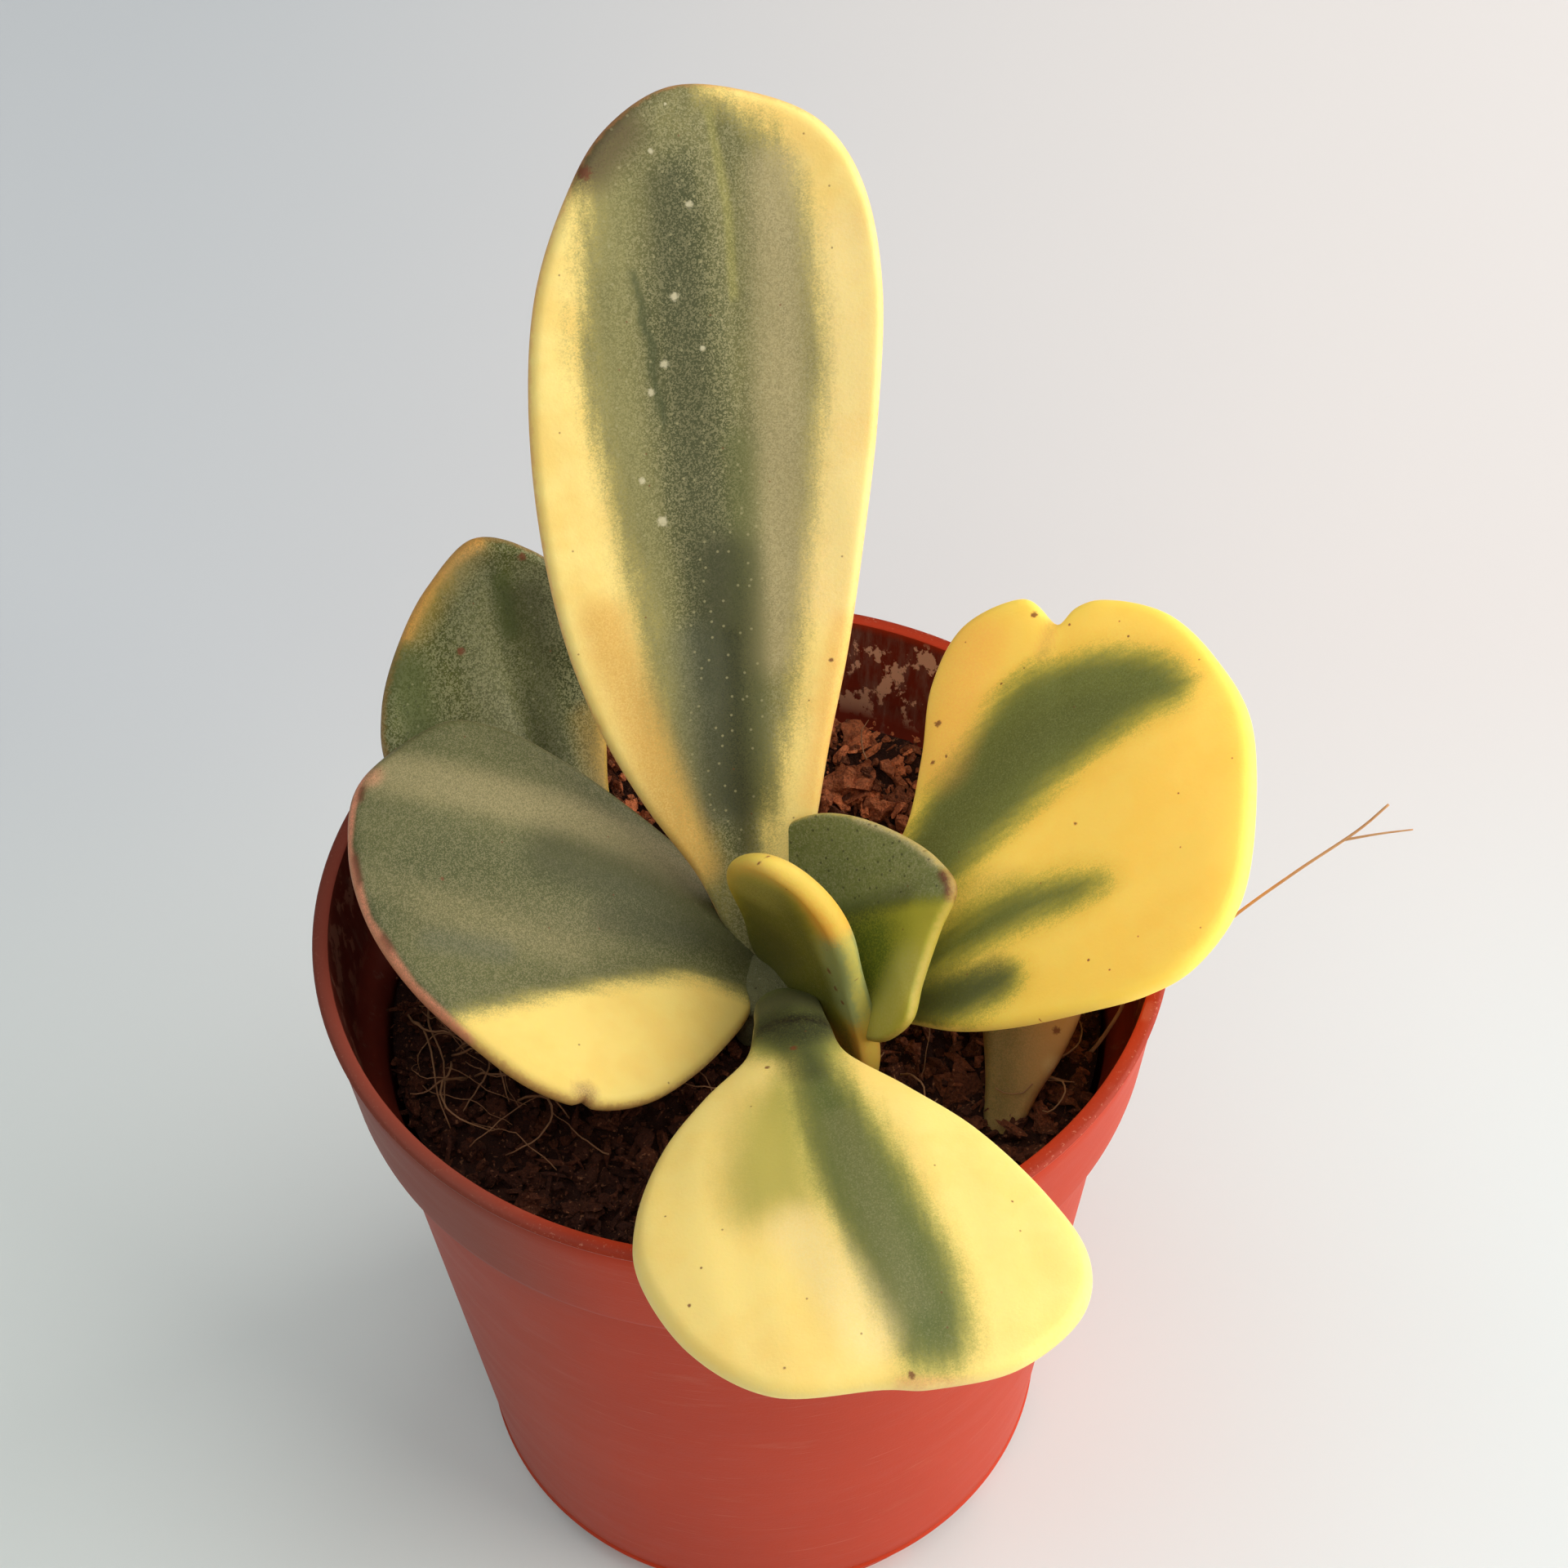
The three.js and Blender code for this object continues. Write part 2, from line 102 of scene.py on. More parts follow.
# The long stray fibre's route and its fork
FIBRE_ROUTE = [
    (21.4, -5, 43.5), (22.8, -5.6, 47), (24, -6.2, 51.5), (24, -7.6, 55.4), (25.6, -8.8, 57.3),
    (28.4, -7.2, 58.5), (30.3, -5.9, 60), (33.9, -5.3, 63.5), (37.5, -4.3, 66), (39.4, -3.5, 67.5),
]
FIBRE_FORK = [(36.8, -4.5, 65.5), (38.8, -4.7, 66.2), (40.8, -4.7, 66.5)]
# Loose thin fibres on the mix: how many, and what each may be like
LOOSE = {
    "strays": 50, "points": 14, "fewest": 6, "bend": 0.16, "lift": (0.6, 1.8), "step": (0.35, 0.8),
    "rise": (0.2, 1.8), "radii": (0.045, 0.06, 0.09), "sides": 5,
}
# Tangles of thin fibres on the mix: place, heading in degrees, and how many
TANGLES = [
    ((-20.4, -0.5), 285, 8), ((-19.6, -5.5), 300, 6), ((-18.4, -5.0), 10, 4), ((17.6, -9.5), 60, 8),
    ((9.5, -8), 250, 5), ((12, 9), 200, 6),
]

# Leaf blades, as in their solids. A leaf starts at base and runs for length along its midrib, whose
# heading (degrees from +X) and rise (degrees above level) change evenly. roll turns the blade about the
# midrib, cup lifts its left and right sides (at 10 mm out). Outline points are (out, along), and so are
# the markings: green, dark and pale areas, ribs, soft strokes (tint, width, strength, route), pale scabs
# and brown spots (out, along, radius), and one small nick (out, along, depth, width).
LEAVES = {
    "leaf_tall_back": {
        "base": (1.5, 0.5, 50.5), "length": 53, "heading": (95, 98), "rise": (66, 55), "cup": (1, 1.6),
        "start": (0, -1.5), "tip": (-1, 55.6),
        "left": [(2.4, 1.5), (4.2, 6), (7.1, 11.2), (9.5, 16.8), (11.2, 23.5), (11.9, 31), (11.6, 38.5),
            (10.4, 44.6), (8, 49.8), (5.2, 53.5)],
        "right": [(2.2, 2), (3.6, 8), (5, 14.2), (6.6, 20.4), (8.2, 28), (9.5, 35), (10.4, 42.5),
            (9.9, 48.6), (7.8, 52.6), (3.8, 54.8)],
        "green": [[(-2.6, -3), (-3.4, 7), (-4.4, 11), (-5.5, 16.5), (-5.7, 22), (-6.2, 27), (-7, 33),
            (-7.8, 40), (-6.9, 46), (-6.6, 50.2), (-9, 51.6), (-14, 53), (-8, 61), (0.4, 61), (0.6, 55.4),
            (3.4, 53), (5.4, 49), (6.1, 44), (5.9, 38), (4.9, 31.5), (3.9, 26), (2.8, 20.5), (2, 15.5),
            (0.4, 10), (0.2, 5), (1.5, -3)]],
        "dark": [[(-2.4, 8), (-3.1, 11), (-3.9, 16), (-4.3, 24), (-4.5, 34), (-4.4, 41), (-3.6, 47),
            (-2.4, 51.5), (0.2, 51.5), (0.8, 46), (0.8, 34), (0.2, 26), (-0.4, 20), (-0.8, 15), (-0.9, 8)]],
        "ribs": [[(1, 54.5), (1.5, 48), (1.3, 41), (1, 35)], [(-0.9, 22), (-1.3, 14), (-1, 8)]],
        "strokes": [
            ("sage", 2.0, 0.4, [(-5.2, 50), (-6.1, 44), (-6.3, 38), (-5.9, 31), (-5.2, 24), (-4.6, 12)]),
            ("tan", 2.2, 0.65, [(4.6, 50), (4.1, 42), (3.4, 34), (2.7, 26), (1.6, 21)]),
            ("lime", 0.4, 0.3, [(1.1, 54), (1.6, 48), (1.4, 43)]),
            ("honey", 2.0, 0.7, [(-8.6, 24), (-7.2, 18), (-5.6, 12), (-4.2, 7)]),
            ("cream", 2.4, 0.5, [(8.4, 46), (8.2, 38), (7, 30), (5.8, 24)]),
            ("moss", 1.5, 0.5, [(0.9, 34), (0.6, 28), (0.4, 22), (0.1, 16), (0.5, 11)]),
            ("slate", 2.0, 0.4, [(-3.1, 22), (-3, 16), (-2.2, 11)]),
            ("shade", 0.9, 0.5, [(-0.9, 22), (-1.2, 16.8), (-1.3, 12), (-1, 8)]),
            ("shade", 2.6, 0.6, [(-0.6, 27), (-0.9, 20), (-1.3, 12)]),
            ("shade", 1.8, 0.3, [(-2, 50), (-1.8, 40), (-2, 30), (-2, 20)]),
            # Painted shade along a crease of the blade
            ("crease_shade", 0.36, 0.6, [(-4.5, 45), (-4.2, 43.2), (-4.3, 42), (-3.8, 40.8), (-4, 39), (-3.6, 36)]),
            ("blush", 2.4, 0.75, [(-4.7, 53.6), (-6.4, 51.8)]),
            ("orange", 1.4, 0.4, [(6.4, 22), (4.8, 15), (3.8, 11)]),
        ],
        "scabs": [(-2.6, 52, 0.22), (-0.7, 48.7, 0.3), (-2.2, 43.4, 0.34), (-0.8, 40.2, 0.24),
            (-3.2, 39.5, 0.34), (-4.2, 37.9, 0.3), (-5.3, 32.6, 0.3), (-4.3, 30, 0.42), (-1.4, 54.6, 0.12)],
        "spots": [(-6.7, 51.2, 0.6), (5.4, 20, 0.2)],
    },
    "leaf_back_left": {
        "base": (-1.5, 1.5, 48.8), "length": 35, "heading": (165, 98), "rise": (8, 60), "roll": -8,
        "cup": (1.9, 1.9), "thickness": 2.8, "start": (0, -3), "tip": (3.4, 36),
        "left": [(1.8, 1), (2.6, 6), (4.4, 12), (6.2, 18), (6.8, 23), (5.4, 26.5), (2.7, 30.2), (0, 33.3)],
        "right": [(1.8, 1), (3, 6), (5.4, 12.5), (7.8, 17.2), (9.8, 22), (10.2, 27), (9.4, 31.2),
            (7.2, 34.6)],
        "green": [[(-3, -5), (-8, 12), (-9, 22), (-6.5, 26.5), (-3.2, 29.3), (-0.6, 31.6), (1.6, 33.6),
            (3.6, 36.5), (7, 38), (14, 32), (13, 23), (9, 21.5), (6.3, 18.5), (5.4, 15), (4, 8), (3, -5)]],
        "dark": [[(4.6, 12), (5.6, 20), (6.2, 27), (6.4, 33), (8.6, 33), (9.4, 26), (7.4, 19)]],
        "ribs": [[(3.6, 34), (3.3, 27), (3, 20), (2, 12)]],
        "strokes": [
            ("ochre", 1.8, 0.35, [(3, 35.9), (0.4, 33.4), (-1.8, 31.2)]),
            ("orange", 0.8, 0.75, [(3.4, 36), (1.4, 34.9), (-0.2, 33.4), (-2.4, 30.8)]),
            ("silver", 2.2, 0.27, [(2.6, 34), (2.4, 28.3), (1.4, 22)]),
            ("silver", 1.8, 0.24, [(6.6, 33), (7.4, 28)]),
            ("meadow", 2.0, 0.6, [(-3, 28), (-4, 23)]),
            ("meadow", 0.9, 0.6, [(4.6, 33), (4.4, 29)]),
            ("shade", 1.9, 0.5, [(5.8, 31.4), (5.6, 25.9), (3.6, 19)]),
            ("ochre", 1.9, 0.35, [(7.4, 20), (6, 15), (5, 11)]),
        ],
        "spots": [(0.8, 28.6, 0.4), (6.2, 34.5, 0.4)],
    },
    "leaf_left": {
        "base": (-0.5, -1.5, 50.5), "length": 28.5, "heading": (186, 164), "rise": (32, 10), "roll": 8,
        "cup": (0.7, 0.7), "start": (0, -1.6), "tip": (6, 27.7),
        "left": [(2.8, -0.8), (5.4, 0.8), (9, 3.6), (11.7, 6.4), (12.9, 9.4), (12.4, 12.7), (10.4, 16.2),
            (7.4, 20.4), (3.6, 24.1), (-1, 26.8)],
        "right": [(3, -0.8), (5.6, 1), (8, 5), (10, 9.8), (11.6, 15), (12.3, 19.8), (11.3, 24)],
        "green": [[(-2.4, -4), (-2, 0.4), (-1.9, 4.2), (-3.4, 8), (-5.2, 11.7), (-7.2, 15.1), (-8.9, 17.8),
            (-11, 19.6), (-15, 21), (-7, 32), (8, 34), (17, 24), (15, 4), (6, -4)]],
        "dark": [[(0, 2), (-1.2, 8), (-3.2, 14), (-4.8, 19), (-4.2, 24), (-1, 25), (3.6, 22), (3.6, 14),
            (3, 7)]],
        "strokes": [
            ("tan", 2.2, 0.45, [(6.5, 26), (6.8, 20), (7.1, 13.3), (6.4, 8), (5.4, 4)]),
            ("tan", 3.0, 0.12, [(-2.4, 20), (-0.8, 11)]),
            ("shade", 2.8, 0.45, [(4, 14), (3.9, 8), (3, 3.5), (1.6, 1)]),
            ("pink", 1.0, 0.4, [(6, 27)]),
            ("pink", 0.32, 0.85, [(7.6, 27.6), (6, 27.7), (3.4, 27.4), (1, 26.8), (-3.6, 24.1), (-7.4, 20.4),
                (-10.2, 16.6)]),
            ("rust", 0.35, 0.7, [(5, 27.3), (4.2, 27.1)]),
            ("rust", 0.3, 0.7, [(0.4, 26.2), (-1.4, 25.2)]),
            ("rust", 0.3, 0.6, [(-4.6, 22.9), (-5.4, 22.1)]),
            ("tan", 1.6, 0.12, [(-1, 24), (-2, 18), (-2.6, 12)]),
            ("slate", 1.2, 0.3, [(-3.8, 16), (-4.2, 20)]),
            ("shade", 1.6, 0.35, [(0.6, 10), (0.6, 4)]),
            ("bruise", 0.9, 0.6, [(-12.3, 10.1)]),
        ],
        "spots": [(0.2, 20.5, 0.18)],
        "nick": (-12.9, 9.9, 0.42, 0.34),
    },
    "leaf_front": {
        "base": (2.5, -4, 50.3), "length": 36, "heading": (277, 276), "rise": (42, -10), "cup": (-0.4, -0.4),
        "start": (0, -1.6), "tip": (-1, 36.8),
        "left": [(1.9, 1.5), (2.2, 7), (2.8, 12), (6, 16.6), (9.2, 20.7), (12.2, 26), (13.7, 30.2),
            (12.6, 33.8), (8.6, 36.5), (3.8, 37.1)],
        "right": [(1.9, 1.5), (2.5, 6), (3.6, 11), (6.6, 15), (9.4, 19.2), (11.3, 24), (11.5, 28.2),
            (9.2, 33.2), (5, 36.4)],
        "green": [[(4, -3), (3.4, 7), (2.6, 11.5), (1, 14), (1.1, 19), (0.8, 23), (0.2, 26), (-0.7, 29),
            (-1.3, 31.4), (-2.1, 34), (-2.9, 36), (-4.2, 36.2), (-5.6, 35.4), (-6, 33.5), (-5.8, 31.5),
            (-5.3, 29), (-4.7, 26.4), (-3.9, 23.7), (-2.9, 20), (-1.7, 15.8), (-2, 12.6), (-2.6, 10),
            (-3.2, 6), (-4, -3)]],
        "dark": [[(0.2, 13), (0.4, 19), (0, 25), (-1.2, 30), (-2.8, 34.6), (-4.8, 34.4), (-5, 31),
            (-4, 26.5), (-2.4, 21), (-1.2, 15)]],
        "pale": [[(1, 15), (3, 15.6), (4.6, 17.6), (5.6, 20.3), (6.3, 23.4), (6, 26.1), (4.6, 26.9),
            (2.8, 26.4), (1, 25.8), (0.4, 20)]],
        "strokes": [
            ("shade", 1.8, 0.5, [(1, 10.2), (0.6, 12), (0.2, 15)]),
            ("powder", 3.2, 0.85, [(-1.6, 4.6), (1.6, 4.6)]),
            ("shade", 2.6, 0.85, [(-2, 8.5), (-0.4, 10), (1.5, 8)]),
            ("crack", 1.0, 0.5, [(-2.4, 8.5), (2.2, 8.5)]),
            ("crack", 0.26, 0.8, [(-2.2, 8.9), (-1.6, 8.6), (-1.1, 8.8), (-0.4, 8.3), (0, 8.6), (0.7, 8.5)]),
            ("crack", 0.22, 0.7, [(0.3, 8), (0.8, 8.2), (1.3, 7.8), (2, 8.1)]),
            ("tan", 1.5, 0.12, [(-1.2, 20), (-2.3, 27.9), (-3.2, 32.4)]),
            ("moss", 0.9, 0.4, [(0.6, 17), (0.2, 24), (-0.9, 29.6), (-2.6, 35)]),
            ("cream", 2.2, 0.5, [(2.4, 27.5), (0.6, 31), (-0.6, 34)]),
            ("pink", 0.6, 0.4, [(-6, 37.4), (-2, 37)]),
        ],
        "spots": [(0.6, 12.3, 0.32), (2.4, 13.8, 0.22), (-2.6, 36.5, 0.28), (8.9, 30.9, 0.14),
            (4.2, 35.3, 0.12), (8, 28.8, 0.1), (-9.9, 26.8, 0.1), (9.6, 24.8, 0.1)],
    },
    "leaf_right": {
        "base": (4.5, -2, 49.4), "length": 33, "heading": (15, 9), "rise": (37, 29), "roll": -10,
        "cup": (0.6, 0.6), "start": (0, -1.6), "tip": (0.2, 33.5),
        "left": [(2.4, 1.5), (3.6, 5.6), (5.4, 10.3), (9.2, 13.6), (13.2, 16.3), (15.6, 19.8), (15.2, 23.8),
            (13, 25.2), (12.4, 28.2), (9.4, 31.5), (5, 33.1)],
        "right": [(2.6, 1), (6, 4.7), (8.8, 7.9), (10.9, 11.7), (12.6, 16.2), (13.9, 20.6), (13.8, 24.4),
            (11.4, 28.4), (6.6, 31.3)],
        "green": [[(-2, 3), (-4.6, 11), (-6.6, 14), (-8, 17.2), (-9.3, 19.8), (-9.8, 22.4), (-8.9, 25.6),
            (-7.6, 28.6), (-5.6, 30.4), (-3.8, 31), (-2.9, 30), (-2.9, 28), (-2.6, 25), (-2.2, 22.7),
            (-1.8, 20.5), (-1.1, 18), (-0.4, 15), (0.3, 12), (1, 6)], [(3.2, 5), (3, 9.6), (2.9, 13),
            (3.5, 16.2), (4.6, 19.4), (5.9, 21.4), (6.2, 19.6), (5.9, 17), (5.6, 14), (5.4, 10.7), (5, 6)],
            [(4.6, 5), (5.6, 9), (7.2, 12.8), (8.2, 13.6), (8.9, 12.8), (9, 10.6), (8.6, 8), (6.4, 4.6)]],
        "dark": [[(-3, 9), (-6, 15.5), (-7.6, 20), (-7.4, 24), (-5, 28), (-4, 26), (-3.6, 22), (-2.6, 17),
            (-1, 10)], [(5, 6.4), (6.2, 9.6), (7.6, 12.4), (8.4, 11.4), (7.8, 8.4), (6.2, 6)]],
        "strokes": [
            ("orange", 3.0, 0.5, [(-13.7, 19.9), (-11.2, 17.5), (-8.2, 14.7)]),
            ("olive", 2.4, 0.35, [(1.6, 9), (1.9, 13.1), (3.2, 15)]),
            ("ochre", 0.6, 0.45, [(-13, 25.4), (-11.8, 24.6), (-10.6, 23.6)]),
            ("shade", 1.8, 0.45, [(7.4, 12.2), (7, 9.6), (6.4, 7)]),
        ],
        "spots": [(-13.4, 24.2, 0.3), (-11.5, 25.9, 0.14), (-8.7, 28.9, 0.12), (1.4, 21.1, 0.16),
            (3.1, 27.8, 0.1), (10.2, 18.3, 0.12), (11.5, 19.3, 0.1), (-7.8, 15.3, 0.14), (-10.2, 20.5, 0.12),
            (-10.2, 15.7, 0.35), (-8, 14.3, 0.22)],
        "nick": (-13.1, 25.5, 0.7, 0.7),
    },
    "leaf_young_centre": {
        "base": (2.7, -1.6, 51.1), "length": 9.5, "heading": (304, 304), "rise": (53, 53), "roll": -96,
        "cup": (4, 1), "thickness": 1.9, "start": (0, -1.5), "tip": (0.2, 11.4),
        "left": [(2.5, -1), (4.8, 2.6), (7.4, 7.2), (8.3, 11.4), (7.2, 13.6), (3.7, 13.2)],
        "right": [(2.4, -1), (5, 0), (7.6, 1.2), (8.9, 3), (8, 5), (6, 6.8), (3.2, 8.8)],
        "green": [[(-3, -4), (-4.8, 2), (-6.4, 7), (-6.9, 10.4), (-5.6, 12.2), (-3.2, 11.2), (-1, 9.4),
            (0.4, 9.2), (1, 11.2), (3.6, 9.6), (3.8, 7.4), (4, 3), (3.4, -4)]],
        "strokes": [
            ("shade", 3.0, 0.4, [(-1.8, 4), (-0.9, 1)]),
            ("lime", 2.6, 0.5, [(-6, 9), (-6.6, 12)]),
            ("leek", 1.6, 0.6, [(4.6, 5.4), (6, 4.6), (7.4, 3)]),
            ("patch", 2.3, 1.3, [(0.6, 10.4), (2.2, 9.6), (3.6, 8.6)]),
        ],
        "spots": [(0.9, 8.7, 0.3), (2.1, 8, 0.26), (3.1, 7.8, 0.24), (-7.4, 13.4, 0.1), (-5.1, 13, 0.1),
            (-5.3, 7.9, 0.1)],
    },
    "leaf_small_right": {
        "base": (4.2, -0.9, 52.2), "length": 12.9, "heading": (-7, -27), "rise": (50, 38), "roll": -34,
        "cup": (6, 1.4), "thickness": 2.2, "edge": 0.4, "start": (0, -1.8), "tip": (0.2, 13.4),
        "left": [(2.4, -1), (5.4, 0.4), (6.7, 3), (6.7, 5.3), (5.8, 7.4), (4, 9.8), (2, 12)],
        "right": [(2.2, -1), (4.6, 0.4), (7.2, 2.8), (8.6, 6), (8.2, 9.4), (6, 10.4), (2.8, 12)],
        "green": [[(-1.2, -4), (-1.2, 2.5), (-0.3, 5.2), (0.4, 9.4), (0.6, 14.3), (-1, 17), (-12, 14),
            (-12, -4)]],
        "strokes": [
            ("leek", 4.6, 0.95, [(2.2, 1), (3, 6)]),
            ("lime", 2.2, 0.5, [(5, 9.8), (7, 7.4), (7.8, 4.8)]),
            ("tan", 0.5, 0.6, [(-5.4, 8), (-3.4, 10.6), (-1.6, 12.4)]),
            ("rust", 0.45, 0.85, [(0.7, 13.3), (0, 13.3), (-0.8, 12.8)]),
            ("shade", 1.0, 0.35, [(0.2, 10), (0, 6), (-0.6, 2)]),
        ],
    },
    "leaf_rooted": {
        "base": (16.5, -10, 46), "length": 15, "heading": (70, 80), "rise": (55, 45), "cup": (3, 3),
        "thickness": 1.8, "start": (0, -2), "tip": (0, 15.2),
        "left": [(1.1, -1), (1.6, 2), (2.3, 5.2), (3.2, 9), (2.7, 12.6)],
        "right": [(1.1, -1), (2, 2), (3, 4.6), (3.8, 8.4), (3, 12.4)],
        "strokes": [
            ("moss", 4.0, 0.6, [(-1.4, 1), (-2, 6)]),
            ("cream", 0.8, 0.25, [(2.6, 4)]),
        ],
        "spots": [(2.4, 6.3, 0.35)],
    },
}
# What a leaf has where its own values don't say otherwise. edge is how far its rounded edge reaches in.
LEAF = {
    "roll": 0, "thickness": 3.2, "edge": 0.8, "green": [], "dark": [], "pale": [], "ribs": [],
    "strokes": [], "scabs": [], "spots": [], "nick": None,
}
CUP_REACH = 10.0
SPINE = {"inset": 0.2, "smoothing": 12}
BLADE = {"rows": 128, "flat_rings": 28, "round_rings": 7}
LOOP_STEPS = 6
FAR = 30.0
TINY = 1e-12

# Colours are screen colours from 0 to 255. Tints are what the leaves' soft strokes paint with.
TINTS = {
    "tan": (184, 168, 120), "lime": (186, 178, 92), "moss": (98, 102, 52), "slate": (98, 102, 84),
    "shade": (56, 58, 34), "blush": (96, 80, 50), "crease_shade": (58, 70, 38), "pink": (240, 158, 122),
    "orange": (240, 176, 84), "olive": (112, 112, 34), "ochre": (196, 160, 72), "silver": (156, 154, 118),
    "meadow": (74, 86, 30), "sage": (152, 146, 90), "cream": (250, 226, 158), "bruise": (150, 116, 76),
    "patch": (150, 158, 96), "honey": (226, 178, 90), "leek": (92, 104, 24), "rust": (104, 50, 30),
    "powder": (96, 94, 62), "crack": (36, 28, 18),
}
# A leaf's skin where its palette doesn't say otherwise: the frost's grains to a millimetre and strength,
# the subsurface glow's weight and depth in millimetres, a painted glow of the yellow parts that stands in
# for light coming through, how ragged and how soft (in millimetres) the colour borders are, and how much
# bloom, pale dots and dark pits the green parts carry
SKIN = {
    "frost": (14.0, 0.35), "glow": (0.3, 1.5), "through": 0.0, "ragged": 0.6, "soft": 1.3,
    "bloom_amount": 0.4, "dots": 0.15, "pits": 0.0, "pale": (190, 176, 86), "lime": (186, 178, 84),
    "green": (114, 118, 56), "dark": (96, 104, 52), "bloom": (150, 150, 104), "hollow": (68, 82, 34),
}
PALETTES = {
    "leaf_tall_back": {
        "yellow": (253, 226, 138), "deep": (243, 204, 108), "edge": (226, 150, 96), "lime": (180, 166, 90),
        "green": (124, 119, 70), "dark": (76, 79, 44), "bloom": (172, 164, 118), "hollow": (74, 80, 44),
        "frost": (12.0, 0.55), "ragged": 1.0, "dots": 0.5,
    },
    "leaf_back_left": {
        "yellow": (206, 166, 74), "deep": (190, 146, 62), "edge": (176, 128, 74), "lime": (120, 118, 50),
        "green": (84, 88, 32), "dark": (56, 62, 26), "bloom": (160, 158, 112), "hollow": (50, 56, 22),
        "frost": (11.0, 0.6), "glow": (0.2, 1.5), "ragged": 0.9, "soft": 1.0, "bloom_amount": 0.45,
        "dots": 0.4, "pits": 0.3,
    },
    "leaf_left": {
        "yellow": (252, 222, 124), "deep": (246, 208, 108), "edge": (180, 118, 76), "lime": (170, 160, 88),
        "green": (98, 99, 56), "dark": (80, 84, 44), "bloom": (162, 152, 112), "hollow": (66, 74, 40),
        "frost": (15.0, 0.4), "ragged": 0.8, "soft": 0.8, "pits": 0.2,
    },
    "leaf_front": {
        "yellow": (255, 225, 132), "deep": (252, 214, 116), "edge": (250, 222, 140), "bloom_amount": 0.15,
    },
    "leaf_right": {
        "yellow": (255, 212, 94), "deep": (254, 203, 82), "edge": (250, 210, 104), "lime": (204, 184, 64),
        "green": (124, 128, 54), "dark": (106, 110, 46), "bloom": (146, 150, 86), "hollow": (78, 82, 24),
        "glow": (0.5, 4), "through": 0.21, "soft": 1.4, "bloom_amount": 0.25, "dots": 0.12,
    },
    "leaf_young_centre": {
        "yellow": (228, 180, 76), "deep": (220, 168, 62), "edge": (214, 196, 80), "lime": (170, 160, 44),
        "green": (112, 112, 34), "dark": (104, 104, 40), "bloom": (170, 162, 110), "hollow": (90, 92, 26),
        "frost": (14.0, 0.3), "glow": (0.4, 3), "ragged": 0.3, "soft": 1.2, "bloom_amount": 0.12,
        "dots": 0.1,
    },
    "leaf_small_right": {
        "yellow": (172, 166, 50), "deep": (156, 152, 44), "edge": (214, 184, 96), "lime": (120, 126, 40),
        "green": (126, 130, 72), "dark": (98, 106, 56), "bloom": (172, 168, 124), "hollow": (80, 88, 40),
        "frost": (11.0, 0.4), "glow": (0.4, 3), "ragged": 0.5, "soft": 0.5, "bloom_amount": 0.3,
        "dots": 0.2, "pits": 0.6,
    },
    "leaf_rooted": {
        "yellow": (206, 158, 96), "deep": (178, 134, 78), "edge": (196, 150, 92), "glow": (0.4, 3),
    },
}
# How strongly the dark grains of the skin show
HOLLOW = 0.34
PIT = (40, 40, 24)
SPOT_TINTS = {"scabs": ((214, 204, 166), 0.75), "spots": ((118, 62, 34), 0.85)}

# Lights: place, width in metres, watts and colour
LIGHTS = {
    "window_right": ((850, -76, 240), 1.1, 17.5, (1.0, 0.95, 0.91)),
    "room_back": ((330, 300, 280), 0.4, 0.6, (1.0, 0.97, 0.96)),
    "room_front": ((0, -600, 430), 0.7, 1.2, (1.0, 0.98, 0.96)),
    "room_left": ((-440, -20, 560), 0.6, 0.85, (0.93, 0.98, 1.0)),
    "ceiling": ((20, -60, 900), 0.9, 3.3, (0.98, 0.98, 1.0)),
}
# The place that every light is turned to
LIT = (0, 0, 45)
# The floor paper's tones near and far, where they change, and half its side in metres. The tones are painted
# light and shade: darker and cooler toward the back left, where the plant's shadow falls.
FLOOR = {
    "near_left": (230, 238, 233), "far_left": (201, 207, 210), "turn": (-90.0, 60.0),
    "near_right": (228, 238, 237), "far_right": (227, 224, 221), "depth": (0.0, 90.0),
    "side": 1.6,
}
SKY = {"colour": (0.85, 0.93, 1.0), "strength": 0.01}


# Helpers

def screen(colour):
    """A 0 to 255 screen colour as a linear one with alpha."""
    shares = [value / 255 for value in colour]
    linear = [s / 12.92 if s <= 0.04045 else ((s + 0.055) / 1.055) ** 2.4 for s in shares]
    return (*linear, 1.0)


def placed(points):
    """Points in millimetres from the pot's axis, as metres in the part's frame."""
    return np.asarray(points, float) * MM + AXIS


def curve_between(p0, p1, p2, p3, w):
    """A Catmull-Rom curve from p1 to p2, at shares w."""
    t0 = (p2 - p0) / 2
    t1 = (p3 - p1) / 2
    cubic = 2 * p1 - 2 * p2 + t0 + t1
    square = -3 * p1 + 3 * p2 - 2 * t0 - t1
    return cubic * w**3 + square * w**2 + t0 * w + p1


def loop_at(points, shares):
    """Points of a closed curve at shares of its number of spans."""
    place = np.asarray(shares) * len(points)
    span = np.floor(place).astype(int)
    knots = (points[(span + k) % len(points)] for k in (-1, 0, 1, 2))
    return curve_between(*knots, (place - span)[:, None])


def open_curve(points, steps):
    """A smooth open curve through points."""
    points = np.asarray(points, float)
    ends = np.vstack([2 * points[0] - points[1], points, 2 * points[-1] - points[-2]])
    w = (np.arange(steps) / steps)[:, None]
    return np.vstack([*(curve_between(*ends[k:k + 4], w) for k in range(len(points) - 1)), points[-1]])


def segment_distance(points, starts, ends):
    """The distance from each point to the nearest of the segments."""
    best = np.full(len(points), np.inf)
    for start, end in zip(starts, ends):
        run = end - start
        share = np.clip(((points - start) @ run) / max(run @ run, TINY), 0, 1)
        best = np.minimum(best, np.linalg.norm(points - start - share[:, None] * run, axis=1))
    return best


